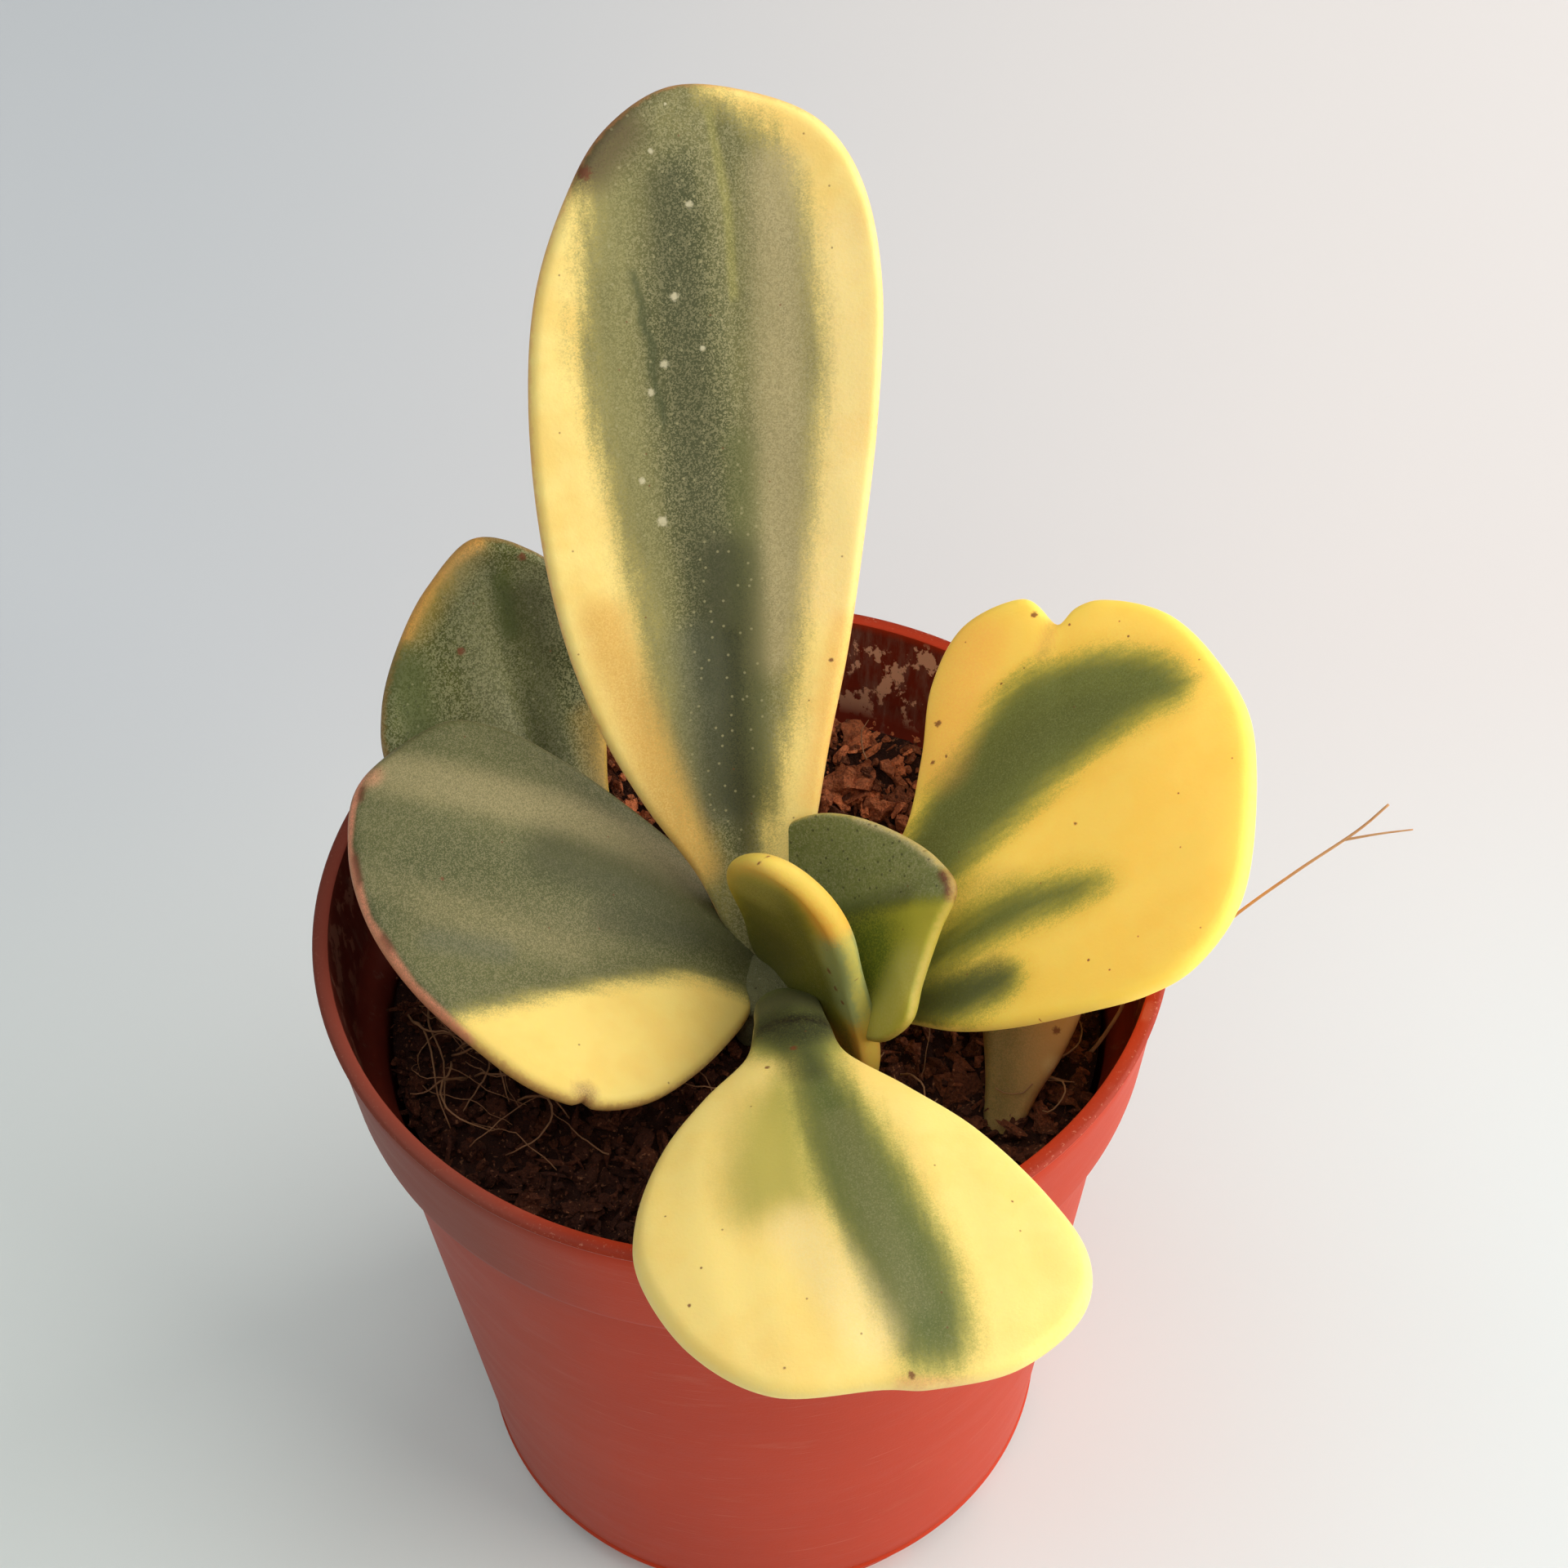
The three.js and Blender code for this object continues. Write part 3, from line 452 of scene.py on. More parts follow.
def line_distance(points, routes):
    """The distance from each point to the nearest of the open routes, each of one point or more."""
    best = np.full(len(points), FAR)
    for route in routes:
        route = np.asarray(route, float)
        starts, ends = (route[:-1], route[1:]) if len(route) > 1 else (route, route)
        best = np.minimum(best, segment_distance(points, starts, ends))
    return best


def area_depth(points, outlines):
    """How deep each point lies inside the outlines, negative outside them."""
    depth = np.full(len(points), -FAR)
    for outline in outlines:
        steps = len(outline) * LOOP_STEPS
        loop = loop_at(np.asarray(outline, float), np.arange(steps) / steps)
        following = np.roll(loop, -1, axis=0)
        inside = np.zeros(len(points), bool)
        for (ax, ay), (bx, by) in zip(loop, following):
            crosses = (ay > points[:, 1]) != (by > points[:, 1])
            height = by - ay if abs(by - ay) > TINY else TINY
            inside ^= crosses & (points[:, 0] < (bx - ax) * (points[:, 1] - ay) / height + ax)
        gap = segment_distance(points, loop, following)
        depth = np.maximum(depth, np.where(inside, gap, -gap))
    return depth


def painted(points, strokes):
    """The mixed colour of the soft strokes at each point, and how much of the leaf they cover."""
    colour = np.zeros((len(points), 3))
    cover = np.zeros(len(points))
    for tint, width, strength, route in strokes:
        near = np.clip(1.2 - line_distance(points, [route]) / width, 0, 1)
        share = strength * near**2 * (3 - 2 * near)
        total = share + cover * (1 - share)
        blend = np.divide(share, total, out=np.zeros_like(share), where=total > 1e-9)
        colour += blend[:, None] * (np.array(screen(TINTS[tint])[:3]) - colour)
        cover = total
    return colour, cover


def add_object(name, data, matrix=None):
    """A new object in the scene, with its place and turn where these are given."""
    item = bpy.data.objects.new(name, data)
    if matrix:
        item.matrix_world = matrix
    bpy.context.scene.collection.objects.link(item)
    return item


def add_piece(name, points, faces, material, smooth=True):
    """A new mesh object from points in part metres."""
    mesh = bpy.data.meshes.new(name)
    mesh.from_pydata(np.asarray(points).tolist(), [], [list(face) for face in faces])
    mesh.materials.append(material)
    if smooth:
        mesh.shade_smooth()
    mesh.update()
    return add_object(name, mesh)


def add_values(piece, name, values):
    """Stores one number, or one vector, for each of the piece's points."""
    values = np.asarray(values, float)
    kind = "FLOAT_VECTOR" if values.ndim == 2 else "FLOAT"
    attribute = piece.data.attributes.new(name, kind, "POINT")
    attribute.data.foreach_set("vector" if values.ndim == 2 else "value", values.ravel())


def dress(piece, slot, *nodes):
    """Rides the piece on the plant's one body, in place of nodes. The slot is not used."""
    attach(piece, "root")
    if nodes:
        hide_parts(*nodes)


class Shader:
    """A material's node tree, with the colour painted so far and short ways to add to it."""

    def __init__(self, name):
        self.material = bpy.data.materials.new(name)
        self.material.use_nodes = True
        self.tree = self.material.node_tree
        self.surface = self.tree.nodes["Principled BSDF"]
        self.colour = None
        place = self.add("ShaderNodeTexCoord", {}).outputs["Object"]
        self.body = self.stretch(place, (1 / MM, 1 / MM, 1 / MM))

    def put(self, socket, value):
        if isinstance(value, bpy.types.NodeSocket):
            self.tree.links.new(value, socket)
        else:
            socket.default_value = value

    def add(self, kind, inputs, **settings):
        node = self.tree.nodes.new(kind)
        for key, value in settings.items():
            setattr(node, key, value)
        for key, value in inputs.items():
            self.put(node.inputs[key], value)
        return node

    def math(self, operation, first, second):
        return self.add("ShaderNodeMath", {0: first, 1: second}, operation=operation).outputs[0]

    def times(self, first, second):
        return self.math("MULTIPLY", first, second)

    def total(self, first, second, factor=1.0):
        """first + second * factor"""
        inputs = {0: second, 1: factor, 2: first}
        return self.add("ShaderNodeMath", inputs, operation="MULTIPLY_ADD").outputs[0]

    def step(self, value, low, high, top=1.0):
        """From 0 at low to top at high, smoothly."""
        inputs = {"Value": value, "From Min": low, "From Max": high, "To Max": top}
        node = self.add("ShaderNodeMapRange", inputs, interpolation_type="SMOOTHSTEP")
        return node.outputs["Result"]

    def mix(self, share, first, second):
        """From first to second by share, where tuples are screen colours."""
        node = self.add("ShaderNodeMix", {0: share}, data_type="RGBA")
        for socket, colour in ((6, first), (7, second)):
            self.put(node.inputs[socket], screen(colour) if isinstance(colour, tuple) else colour)
        return node.outputs[2]

    def coat(self, share, tint):
        """Paints a tint over the colour so far."""
        self.colour = self.mix(share, self.colour, tint)

    def stretch(self, vector, scale):
        return self.add("ShaderNodeMapping", {"Vector": vector, "Scale": scale}).outputs["Vector"]

    def noise(self, scale, detail=2.0, roughness=0.5, stretch=None, flat=None):
        """Noise on the body, or on a leaf's flat places, with its vector stretched."""
        place = self.body if flat is None else flat
        place = self.stretch(place, stretch) if stretch else place
        inputs = {"Vector": place, "Scale": scale, "Detail": detail, "Roughness": roughness}
        kind = "3D" if flat is None else "2D"
        return self.add("ShaderNodeTexNoise", inputs, noise_dimensions=kind).outputs["Fac"]

    def grains(self, scale):
        """Two random numbers for each small grain of the body."""
        cells = self.add("ShaderNodeTexVoronoi", {"Vector": self.body, "Scale": scale})
        return self.add("ShaderNodeSeparateColor", {0: cells.outputs["Color"]}).outputs[:2]

    def dots(self, vector, scale, radius, top):
        """top inside small round dots scattered over the surface, on about half of their places."""
        inputs = {"Vector": vector, "Scale": scale}
        cells = self.add("ShaderNodeTexVoronoi", inputs, voronoi_dimensions="2D")
        chosen = self.add("ShaderNodeSeparateColor", {0: cells.outputs["Color"]}).outputs[0]
        dot = self.step(cells.outputs["Distance"], radius, 0.5 * radius, top)
        return self.times(dot, self.math("GREATER_THAN", chosen, 0.5))

    def value(self, name, output="Fac"):
        return self.add("ShaderNodeAttribute", {}, attribute_name=name).outputs[output]

    def bump(self, height, depth):
        """Relief of that depth in millimetres, where height goes from 0 to 1."""
        inputs = {"Height": height, "Distance": depth * MM, "Strength": 1.0}
        self.put(self.surface.inputs["Normal"], self.add("ShaderNodeBump", inputs).outputs["Normal"])

    def finish(self, roughness, **settings):
        settings |= {"Base_Color": self.colour, "Roughness": roughness}
        for key, value in settings.items():
            self.put(self.surface.inputs[key.replace("_", " ")], value)
        return self.material


# Camera, floor and lights

def add_camera():
    down = math.radians(CAMERA["down"])
    roll = math.radians(CAMERA["roll"])
    forward = Vector((0, math.cos(down), -math.sin(down)))
    level = Vector((1, 0, 0))
    upward = level.cross(forward)
    right = level * math.cos(roll) + upward * math.sin(roll)
    top = right.cross(forward)
    data = bpy.data.cameras.new("photo_camera")
    data.sensor_width = 36
    data.lens = CAMERA["lens"]
    data.clip_start = 0.01
    turn = Matrix((right, top, -forward)).transposed().to_4x4()
    spot = Matrix.Translation(Vector(placed(CAMERA["place"])))
    bpy.context.scene.camera = add_object("photo_camera", data, spot @ turn)


def add_light(name, place, size, power, colour):
    data = bpy.data.lights.new(name, "AREA")
    data.size = size
    data.energy = power
    data.color = colour
    spot = Vector(placed(place))
    turn = (Vector(placed(LIT)) - spot).to_track_quat("-Z", "Y").to_matrix().to_4x4()
    add_object(name, data, Matrix.Translation(spot) @ turn)


def add_surroundings():
    shader = Shader("floor_paper")
    parts = shader.add("ShaderNodeSeparateXYZ", {0: shader.body}).outputs
    fibres = shader.total(-0.5, shader.noise(0.02, 3.0))
    # Painted light and shade on the floor: darker and cooler toward the back left, with the paper's fibres
    uneven = shader.total(shader.step(parts["X"], *FLOOR["turn"]), fibres, 0.1)
    far = shader.step(parts["Y"], *FLOOR["depth"])
    left = shader.mix(far, FLOOR["near_left"], FLOOR["far_left"])
    right = shader.mix(far, FLOOR["near_right"], FLOOR["far_right"])
    shader.colour = shader.mix(uneven, left, right)
    material = shader.finish(0.8)
    side = FLOOR["side"]
    corners = [(-side, -side, 0), (side, -side, 0), (side, side, 0), (-side, side, 0)]
    floor = add_piece("floor", corners, [(0, 1, 2, 3)], material)
    world = bpy.data.worlds.new("soft_room")
    world.use_nodes = True
    sky = world.node_tree.nodes["Background"]
    sky.inputs["Color"].default_value = (*SKY["colour"], 1.0)
    sky.inputs["Strength"].default_value = SKY["strength"]
    bpy.context.scene.world = world
    for name, (place, size, power, colour) in LIGHTS.items():
        add_light(name, place, size, power, colour)
    bpy.context.scene.view_settings.view_transform = "Standard"


# Pot

def pot_profile():
    """The pot's outline from the middle of its base, up the outside and down the inside."""
    height, rim, wall = POT["height"], POT["rim"], POT["wall"]
    edge, edge_top = POT["edge"], POT["edge_height"]
    band, band_top = POT["band"], POT["band_height"]
    body, collar = POT["body"], POT["collar"]
    collar_foot = height - POT["collar_height"]
    body_top = collar_foot - POT["step"]
    lip_foot = height - POT["lip"]
    neck = rim - POT["lip_out"]
    inner = neck - POT["rim_wall"]
    return [
        (0, edge_top), (edge - 1.2, edge_top), (edge - 0.3, edge_top + 0.05), (edge + 0.05, edge_top + 0.3),
        (band - 0.1, band_top - 0.2), (band, band_top + 0.1), (band - 0.08, band_top + 0.22),
        (band - 0.16, band_top + 0.3), (band - 0.1, band_top + 0.5), (body - 0.02, body_top - 0.25),
        (body + 0.1, body_top), (collar - 0.25, collar_foot - 0.2), (collar - 0.03, collar_foot + 0.05),
        (collar + 0.03, collar_foot + 0.4), (neck - 0.02, lip_foot - 0.35), (neck - 0.16, lip_foot - 0.1),
        (neck - 0.1, lip_foot + 0.02), (rim - 0.04, lip_foot + 0.1), (rim, lip_foot + 0.24),
        (rim - 0.1, height - 0.08), (rim - 0.26, height), (inner + 0.2, height),
        (inner + 0.04, height - 0.1), (inner, lip_foot - 0.3), (collar - wall, collar_foot + 0.5),
        (body - wall, body_top - 0.3), (band - wall, band_top + 0.6),
        (band - wall - 0.8, POT["floor_top"]), (0, POT["floor_top"]),
    ]


def finer(profile, longest):
    """The profile with its long runs split."""
    points = [profile[0]]
    for (r0, z0), (r1, z1) in zip(profile, profile[1:]):
        pieces = max(1, math.ceil(math.hypot(r1 - r0, z1 - z0) / longest))
        points += [(r0 + (r1 - r0) * k / pieces, z0 + (z1 - z0) * k / pieces) for k in range(1, pieces + 1)]
    return points


def lathe(profile, segments):
    """A closed surface of revolution, whose profile starts and ends on the axis."""
    angles = np.arange(segments) * 2 * math.pi / segments
    points = [(0, 0, profile[0][1])]
    for radius, height in profile[1:-1]:
        points += [(radius * math.cos(a), radius * math.sin(a), height) for a in angles]
    points.append((0, 0, profile[-1][1]))
    last = len(points) - 1
    rings = len(profile) - 2
    faces = []
    for k in range(segments):
        following = (k + 1) % segments
        faces.append((0, 1 + following, 1 + k))
        for ring in range(rings - 1):
            low = 1 + ring * segments
            high = low + segments
            faces.append((low + k, low + following, high + following, high + k))
        top = 1 + (rings - 1) * segments
        faces.append((top + k, top + following, last))
    return np.array(points, float), faces


def cut_or_join(piece, tool, operation):
    """Applies one boolean with a tool, which is (points, faces), to the piece."""
    modifier = piece.modifiers.new("form", "BOOLEAN")
    modifier.operation = operation
    modifier.solver = "EXACT"
    modifier.object = add_piece("tool", placed(tool[0]), tool[1], piece.data.materials[0])
    bpy.context.view_layer.update()
    result = bpy.data.meshes.new_from_object(piece.evaluated_get(bpy.context.evaluated_depsgraph_get()))
    bpy.data.objects.remove(modifier.object)
    piece.modifiers.clear()
    piece.data = result


def foot_block(angle):
    """The corners and the faces of one curved foot."""
    half = math.radians(FEET["span"] / 2)
    points = []
    for turn in np.linspace(-half, half, 5) + math.radians(angle):
        for radius in (FEET["inner"], FEET["outer"]):
            for height in (0.0, POT["edge_height"] + FEET["overlap"]):
                points.append((radius * math.cos(turn), radius * math.sin(turn), height))
    faces = [(0, 1, 3, 2), (16, 18, 19, 17)]
    for k in range(0, 16, 4):
        faces += [(k, k + 2, k + 6, k + 4), (k + 1, k + 5, k + 7, k + 3)]
        faces += [(k + 2, k + 3, k + 7, k + 6), (k, k + 4, k + 5, k + 1)]
    return points, faces


def joined(blocks):
    """Several (points, faces) as one."""
    points = []
    faces = []
    for block_points, block_faces in blocks:
        start = len(points)
        points += [tuple(point) for point in block_points]
        faces += [tuple(index + start for index in face) for face in block_faces]
    return np.array(points, float), faces


def pot_material():
    shader = Shader("pot_moulded_plastic")
    smears = shader.noise(0.35, 5.0, 0.7, (0.35, 0.35, 1.6))
    scratches = shader.noise(1.4, 3.0, 0.6, (0.12, 0.12, 3.5))
    streaks = shader.noise(0.9, 5.0, 0.7, (1.2, 1.2, 0.25))
    flakes = shader.noise(0.55, 5.0, 0.66, (1.0, 1.0, 0.7))
    lip = shader.value("lip")
    lime = shader.value("lime")
    parts = shader.add("ShaderNodeSeparateXYZ", {0: shader.body}).outputs
    shaded_left = shader.step(parts["X"], -13.0, -25.0)
    shader.colour = shader.mix(shader.noise(0.06, 4.0, 0.6), (193, 62, 30), (177, 52, 25))
    shader.coat(shader.step(smears, 0.56, 0.8, 0.14), (212, 150, 128))
    shader.coat(shader.step(scratches, 0.62, 0.74, 0.2), (222, 150, 124))
    # Painted shade: the lip's top is darkened all round, standing in for the plant's shadow on it
    shader.coat(shader.times(lip, 0.5), (116, 44, 30))
    wear = shader.step(shader.noise(4.2, 4.0, 0.75), 0.58, 0.68, 0.45)
    shader.coat(shader.times(wear, lip), (230, 160, 130))
    # Painted shade on the side away from the main light: the left collar darker and browner, the left side
    # greyer
    shader.coat(shader.times(shaded_left, shader.step(parts["Z"], 41.0, 49.0, 0.6)), (104, 50, 38))
    shader.coat(shader.times(shaded_left, 0.3), (112, 80, 68))
    # Painted shade inside the pot: the inner wall is dark, with pale streaks of its own
    inner_shade_and_streaks = shader.mix(shader.noise(0.5, 4.0), (128, 46, 30), (88, 32, 22))
    inner_shade_and_streaks = shader.mix(shader.step(streaks, 0.56, 0.7, 0.35), inner_shade_and_streaks, (150, 122, 106))
    shader.coat(shader.times(shader.value("inner"), 0.85), inner_shade_and_streaks)
    shader.coat(shader.times(shader.step(streaks, 0.4, 0.65, 0.6), lime), (150, 108, 92))
    shader.coat(shader.times(shader.step(flakes, 0.53, 0.57, 0.9), lime), (250, 190, 156))
    shader.bump(shader.total(shader.noise(6.0), scratches, 0.6), 0.01)
    return shader.finish(shader.total(0.36, smears, 0.22), Specular_IOR_Level=0.12)


def add_pot():
    points, faces = lathe(finer(pot_profile(), POT["longest"]), POT["segments"])
    pot = add_piece("pot_shell", placed(points), faces, pot_material())
    spacing = 360 / FEET["count"]
    feet = [foot_block(FEET["first"] + spacing * k) for k in range(FEET["count"])]
    cut_or_join(pot, joined(feet), "UNION")
    radius, low, high = DRAINS["radius"], DRAINS["low"], DRAINS["high"]
    column, column_faces = lathe([(0, low), (radius, low), (radius, high), (0, high)], 32)
    drains = []
    for k in range(DRAINS["count"]):
        angle = 2 * math.pi * k / DRAINS["count"]
        middle = DRAINS["ring"] * np.array([math.cos(angle), math.sin(angle), 0])
        drains.append((column + middle, column_faces))
    cut_or_join(pot, joined(drains), "DIFFERENCE")
    mesh = pot.data
    mesh.name = "pot_shell"
    mesh.shade_smooth()
    mesh.set_sharp_from_angle(angle=math.radians(POT["crease"]))
    x, y, height = ((np.array([v.co for v in mesh.vertices]) - AXIS) / MM).T
    radius = np.hypot(x, y)
    wall_middle = np.interp(height, *zip(*WALL_MIDDLE))
    inner = (radius < wall_middle) & (height > POT["floor_top"] - 0.1) & (height < POT["height"] - 0.3)
    add_values(pot, "inner", inner.astype(float))
    flaked = np.exp(-((np.degrees(np.arctan2(y, x)) - FLAKES["turn"]) / FLAKES["spread"]) ** 2)
    band = np.clip((height - FLAKES["foot"]) / 2, 0, 1) * inner
    add_values(pot, "lime", band * np.clip(FLAKES["elsewhere"] + flaked, 0, 1))
    lip_height = POT["height"] - POT["lip"]
    add_values(pot, "lip", np.clip((height - lip_height) / 0.2, 0, 1) * (radius > POT["rim"] - 0.6))
    dress(pot, "pot_plastic", "pot")


# Potting mix

def bed_height(x, y):
    """The bed's height, with its bumps."""
    heap = MIX["heap"] * max(0, 1 - math.hypot(x, y) / MIX["reach"])
    slope = MIX["back"] * min(max((y - MIX["back_from"]) / MIX["back_run"], 0), 1) ** 2
    bumps = sum(high * noise.noise(Vector((x * many, y * many, level))) for high, many, level in BED_BUMPS)
    return MIX["edge"] - MIX["sunk"] + heap + slope + bumps


def mix_material():
    shader = Shader("potting_mix_coir")
    patches = shader.noise(0.9, 4.0, 0.6)
    grain = shader.noise(4.5, 3.0, 0.65)
    shader.colour = shader.mix(shader.value("tone"), (26, 11, 7), (244, 140, 88))
    shader.coat(shader.step(patches, 0.4, 0.75, 0.4), (84, 40, 23))
    shader.coat(shader.step(grain, 0.45, 0.7, 0.5), (48, 22, 13))
    shader.coat(shader.step(shader.noise(3.1), 0.62, 0.7, 0.5), (186, 126, 86))
    shader.bump(shader.total(grain, patches, 0.7), 0.5)
    return shader.finish(0.85, Specular_IOR_Level=0.25)


def ball(level):
    """A round ball's points and triangles."""
    shape = bmesh.new()
    bmesh.ops.create_icosphere(shape, subdivisions=level, radius=1)
    shape.verts.ensure_lookup_table()
    points = np.array([v.co[:] for v in shape.verts])
    faces = np.array([[v.index for v in face.verts] for face in shape.faces])
    shape.free()
    return points, faces


def broken_chip(random, form, size):
    """A ball cut flat on several sides, drawn out into a lump, flake or splinter, and turned."""
    points = form.copy()
    for _ in range(7):
        side = random.normal(size=3)
        side /= np.linalg.norm(side)
        over = np.maximum(points @ side - random.uniform(0.35, 0.8), 0)
        points -= over[:, None] * side
    kind = random.random()
    least, most = next(stretch for share, *stretch in CHIP_FORMS if kind < share)
    scale = random.uniform(least, most)
    away = random.uniform(-50, 50, 3)
    for index, point in enumerate(points):
        place = Vector(point) + Vector(away)
        points[index] *= 1 + 0.55 * noise.noise(place * 1.5) + 0.3 * noise.noise(place * 4.2)
    points = points * scale * size
    tilt = Matrix.Rotation(random.normal(0, 0.5), 3, "X") @ Matrix.Rotation(random.normal(0, 0.5), 3, "Y")
    turn = np.array(Matrix.Rotation(random.uniform(0, 2 * math.pi), 3, "Z") @ tilt)
    return points @ turn.T


def scatter(random, form, faces, count, sizes, lift):
    """count chips spread evenly over the bed, with a tone for each."""
    points = []
    triangles = []
    tones = []
    for index in range(count):
        size = sizes[0] + (sizes[1] - sizes[0]) * random.random() ** 2
        reach = (MIX["reach"] + 0.4 - size) * math.sqrt(random.random())
        angle = random.uniform(0, 2 * math.pi)
        x, y = reach * math.cos(angle), reach * math.sin(angle)
        chip = broken_chip(random, form, size)
        height = bed_height(x, y) + random.uniform(-0.2 * size, lift)
        points.append(chip + np.array([x, y, height]))
        triangles.append(faces + index * len(form))
        # Painted light: chips toward the back and the right are lighter, those toward the front left darker
        lit_share = np.clip(CHIP_LIT["middle"] + CHIP_LIT["back"] * y + CHIP_LIT["right"] * x, CHIP_LIT["least"], CHIP_LIT["most"])
        light = TONE["light"] * lit_share ** CHIP_LIT["power"] * random.beta(*TONE["spread"])
        tones.append(np.full(len(form), TONE["dark"] + light))
    return np.concatenate(points), np.concatenate(triangles), np.concatenate(tones)


def add_mix():
    material = mix_material()
    random = np.random.default_rng(SEEDS["chips"])
    radii = np.linspace(0, MIX["reach"], MIX["rings"])[1:]
    top = [(r, MIX["edge"]) for r in radii[::-1]]
    profile = [(0, MIX["bottom"]), (MIX["bottom_radius"], MIX["bottom"])]
    profile += [(MIX["reach"] - 0.5, MIX["edge"] - 1.5)] + top + [(0, MIX["edge"])]
    points, faces = lathe(profile, MIX["segments"])
    above = points[:, 2] > MIX["edge"] - MIX["sunk"]
    points[above, 2] = [bed_height(x, y) for x, y, _ in points[above]]
    bed = add_piece("potting_mix_bed", placed(points), faces, material)
    # Painted shade: the bed under the chips is nearly black, for the deep gaps between them
    add_values(bed, "tone", np.full(len(points), MIX["tone"]))
    dress(bed, "mix", "potting_mix")
    for name, (level, count, sizes, lift) in CHIPS.items():
        form, triangles = ball(level)
        chip_points, chip_faces, tones = scatter(random, form, triangles, count, sizes, lift)
        chips = add_piece(name, placed(chip_points), chip_faces, material, smooth=False)
        add_values(chips, "tone", tones)
        dress(chips, "mix")


# Fibres

def tube(route, radii, sides):
    """A tube along a route, closed at both ends, with a radius for each point."""
    route = np.asarray(route, float)
    along = np.gradient(route, axis=0)
    along /= np.linalg.norm(along, axis=1)[:, None]
    side = np.cross(along[0], (0.3, 0.5, 0.8))
    points = []
    for place, direction, radius in zip(route, along, radii):
        side = side - (side @ direction) * direction
        side /= np.linalg.norm(side)
        other = np.cross(direction, side)
        for k in range(sides):
            angle = 2 * math.pi * k / sides
            points.append(place + radius * (math.cos(angle) * side + math.sin(angle) * other))
    faces = [tuple(range(sides))[::-1]]
    for ring in range(len(route) - 1):
        for k in range(sides):
            a = ring * sides + k
            b = ring * sides + (k + 1) % sides
            faces.append((a, b, b + sides, a + sides))
    start = (len(route) - 1) * sides
    faces.append(tuple(start + k for k in range(sides)))
    return points, faces


def fibre_material(name, light, dark):
    shader = Shader(name)
    shader.colour = shader.mix(shader.noise(0.8, 4.0, 0.7), light, dark)
    shader.bump(shader.noise(12.0), 0.02)
    return shader.finish(0.6, Specular_IOR_Level=0.3)


def loose_fibre(random, place, heading):
    """A thin bent fibre that lies on the mix, or none where it would leave the pot."""
    x, y = place
    bend = random.normal(0, LOOSE["bend"])
    lift, step, rise = (random.uniform(*LOOSE[key]) for key in ("lift", "step", "rise"))
    radius = random.choice(LOOSE["radii"])
    route = []
    for k in range(LOOSE["points"]):
        arch = math.sin(math.pi * k / (LOOSE["points"] - 1))
        if math.hypot(x, y) < MIX["reach"] - 0.3:
            route.append((x, y, bed_height(x, y) + lift + rise * arch))
        heading += bend + random.normal(0, LOOSE["bend"])
        x += step * math.cos(heading)
        y += step * math.sin(heading)
    if len(route) < LOOSE["fewest"]:
        return []
    return [tube(route, np.linspace(radius, radius / 2, len(route)), LOOSE["sides"])]


def add_fibres():
    stray = open_curve(FIBRE_ROUTE, 8)
    fork = open_curve(FIBRE_FORK, 8)
    thin = np.linspace(0.15, 0.08, len(stray))
    blocks = [tube(stray, thin, 6), tube(fork, np.linspace(0.09, 0.05, len(fork)), 6)]
    points, faces = joined(blocks)
    light = fibre_material("coir_fibre_light", (228, 180, 124), (190, 128, 78))
    dress(add_piece("stray_coir_fibre", placed(points), faces, light), "fibre", "coir_fibre")
    random = np.random.default_rng(SEEDS["fibres"])
    blocks = []
    for _ in range(LOOSE["strays"]):
        reach = (MIX["reach"] - 2) * math.sqrt(random.uniform(0.12, 1))
        angle = random.uniform(0, 2 * math.pi)
        place = (reach * math.cos(angle), reach * math.sin(angle))
        blocks += loose_fibre(random, place, random.uniform(0, 2 * math.pi))
    for place, heading, count in TANGLES:
        for _ in range(count):
            start = np.array(place) + random.normal(0, 1.1, 2)
            blocks += loose_fibre(random, start, math.radians(heading) + random.normal(0, 0.5))
    points, faces = joined(blocks)
    pale = fibre_material("coir_fibre_pale", (176, 132, 92), (120, 78, 50))
    dress(add_piece("potting_mix_fibres", placed(points), faces, pale), "fibre")


# Stem

def stem_material():
    shader = Shader("stem_bark")
    patches = shader.noise(0.9, 4.0, 0.6)
    grain = shader.noise(5.0, 3.0, 0.7)
    shader.colour = shader.mix(patches, (88, 88, 56), (122, 120, 82))
    cracks = shader.noise(1.6, 4.0, 0.7, (1, 1, 2.4))
    shader.coat(shader.step(cracks, 0.36, 0.3, 0.8), (40, 30, 20))
    shader.coat(shader.step(grain, 0.6, 0.72, 0.4), (196, 192, 166))
    shader.bump(shader.total(grain, patches), 0.2)
    return shader.finish(0.75, Specular_IOR_Level=0.25)


def add_stem():
    profile = [
        (0, STEM["bottom"]), (1.0, STEM["bottom"]), (STEM["neck"], MIX["edge"] - 4),
        (STEM["radius"], MIX["edge"] + 2), (STEM["neck"], MIX["edge"] + 3.4),
        (STEM["radius"], STEM["top"] - 1.6), (STEM["neck"] * 0.8, STEM["top"] - 0.4), (0, STEM["top"]),
    ]
    points, faces = lathe(finer(profile, 0.4), 64)
    for index, (x, y, z) in enumerate(points):
        swell = 0.35 * noise.noise(Vector((x * 0.7, y * 0.7, z * 0.9)))
        swell += 0.12 * noise.noise(Vector((x * 2.6, y * 2.6, z * 3.0)))
        reach = max(math.hypot(x, y), 0.001)
        points[index] = (x * (1 + swell / max(reach, 1)), y * (1 + swell / max(reach, 1)), z)
    points += np.array([STEM["x"], STEM["y"], 0])
    dress(add_piece("stem_bark", placed(points), faces, stem_material()), "stem_bark", "stem")


# Leaves

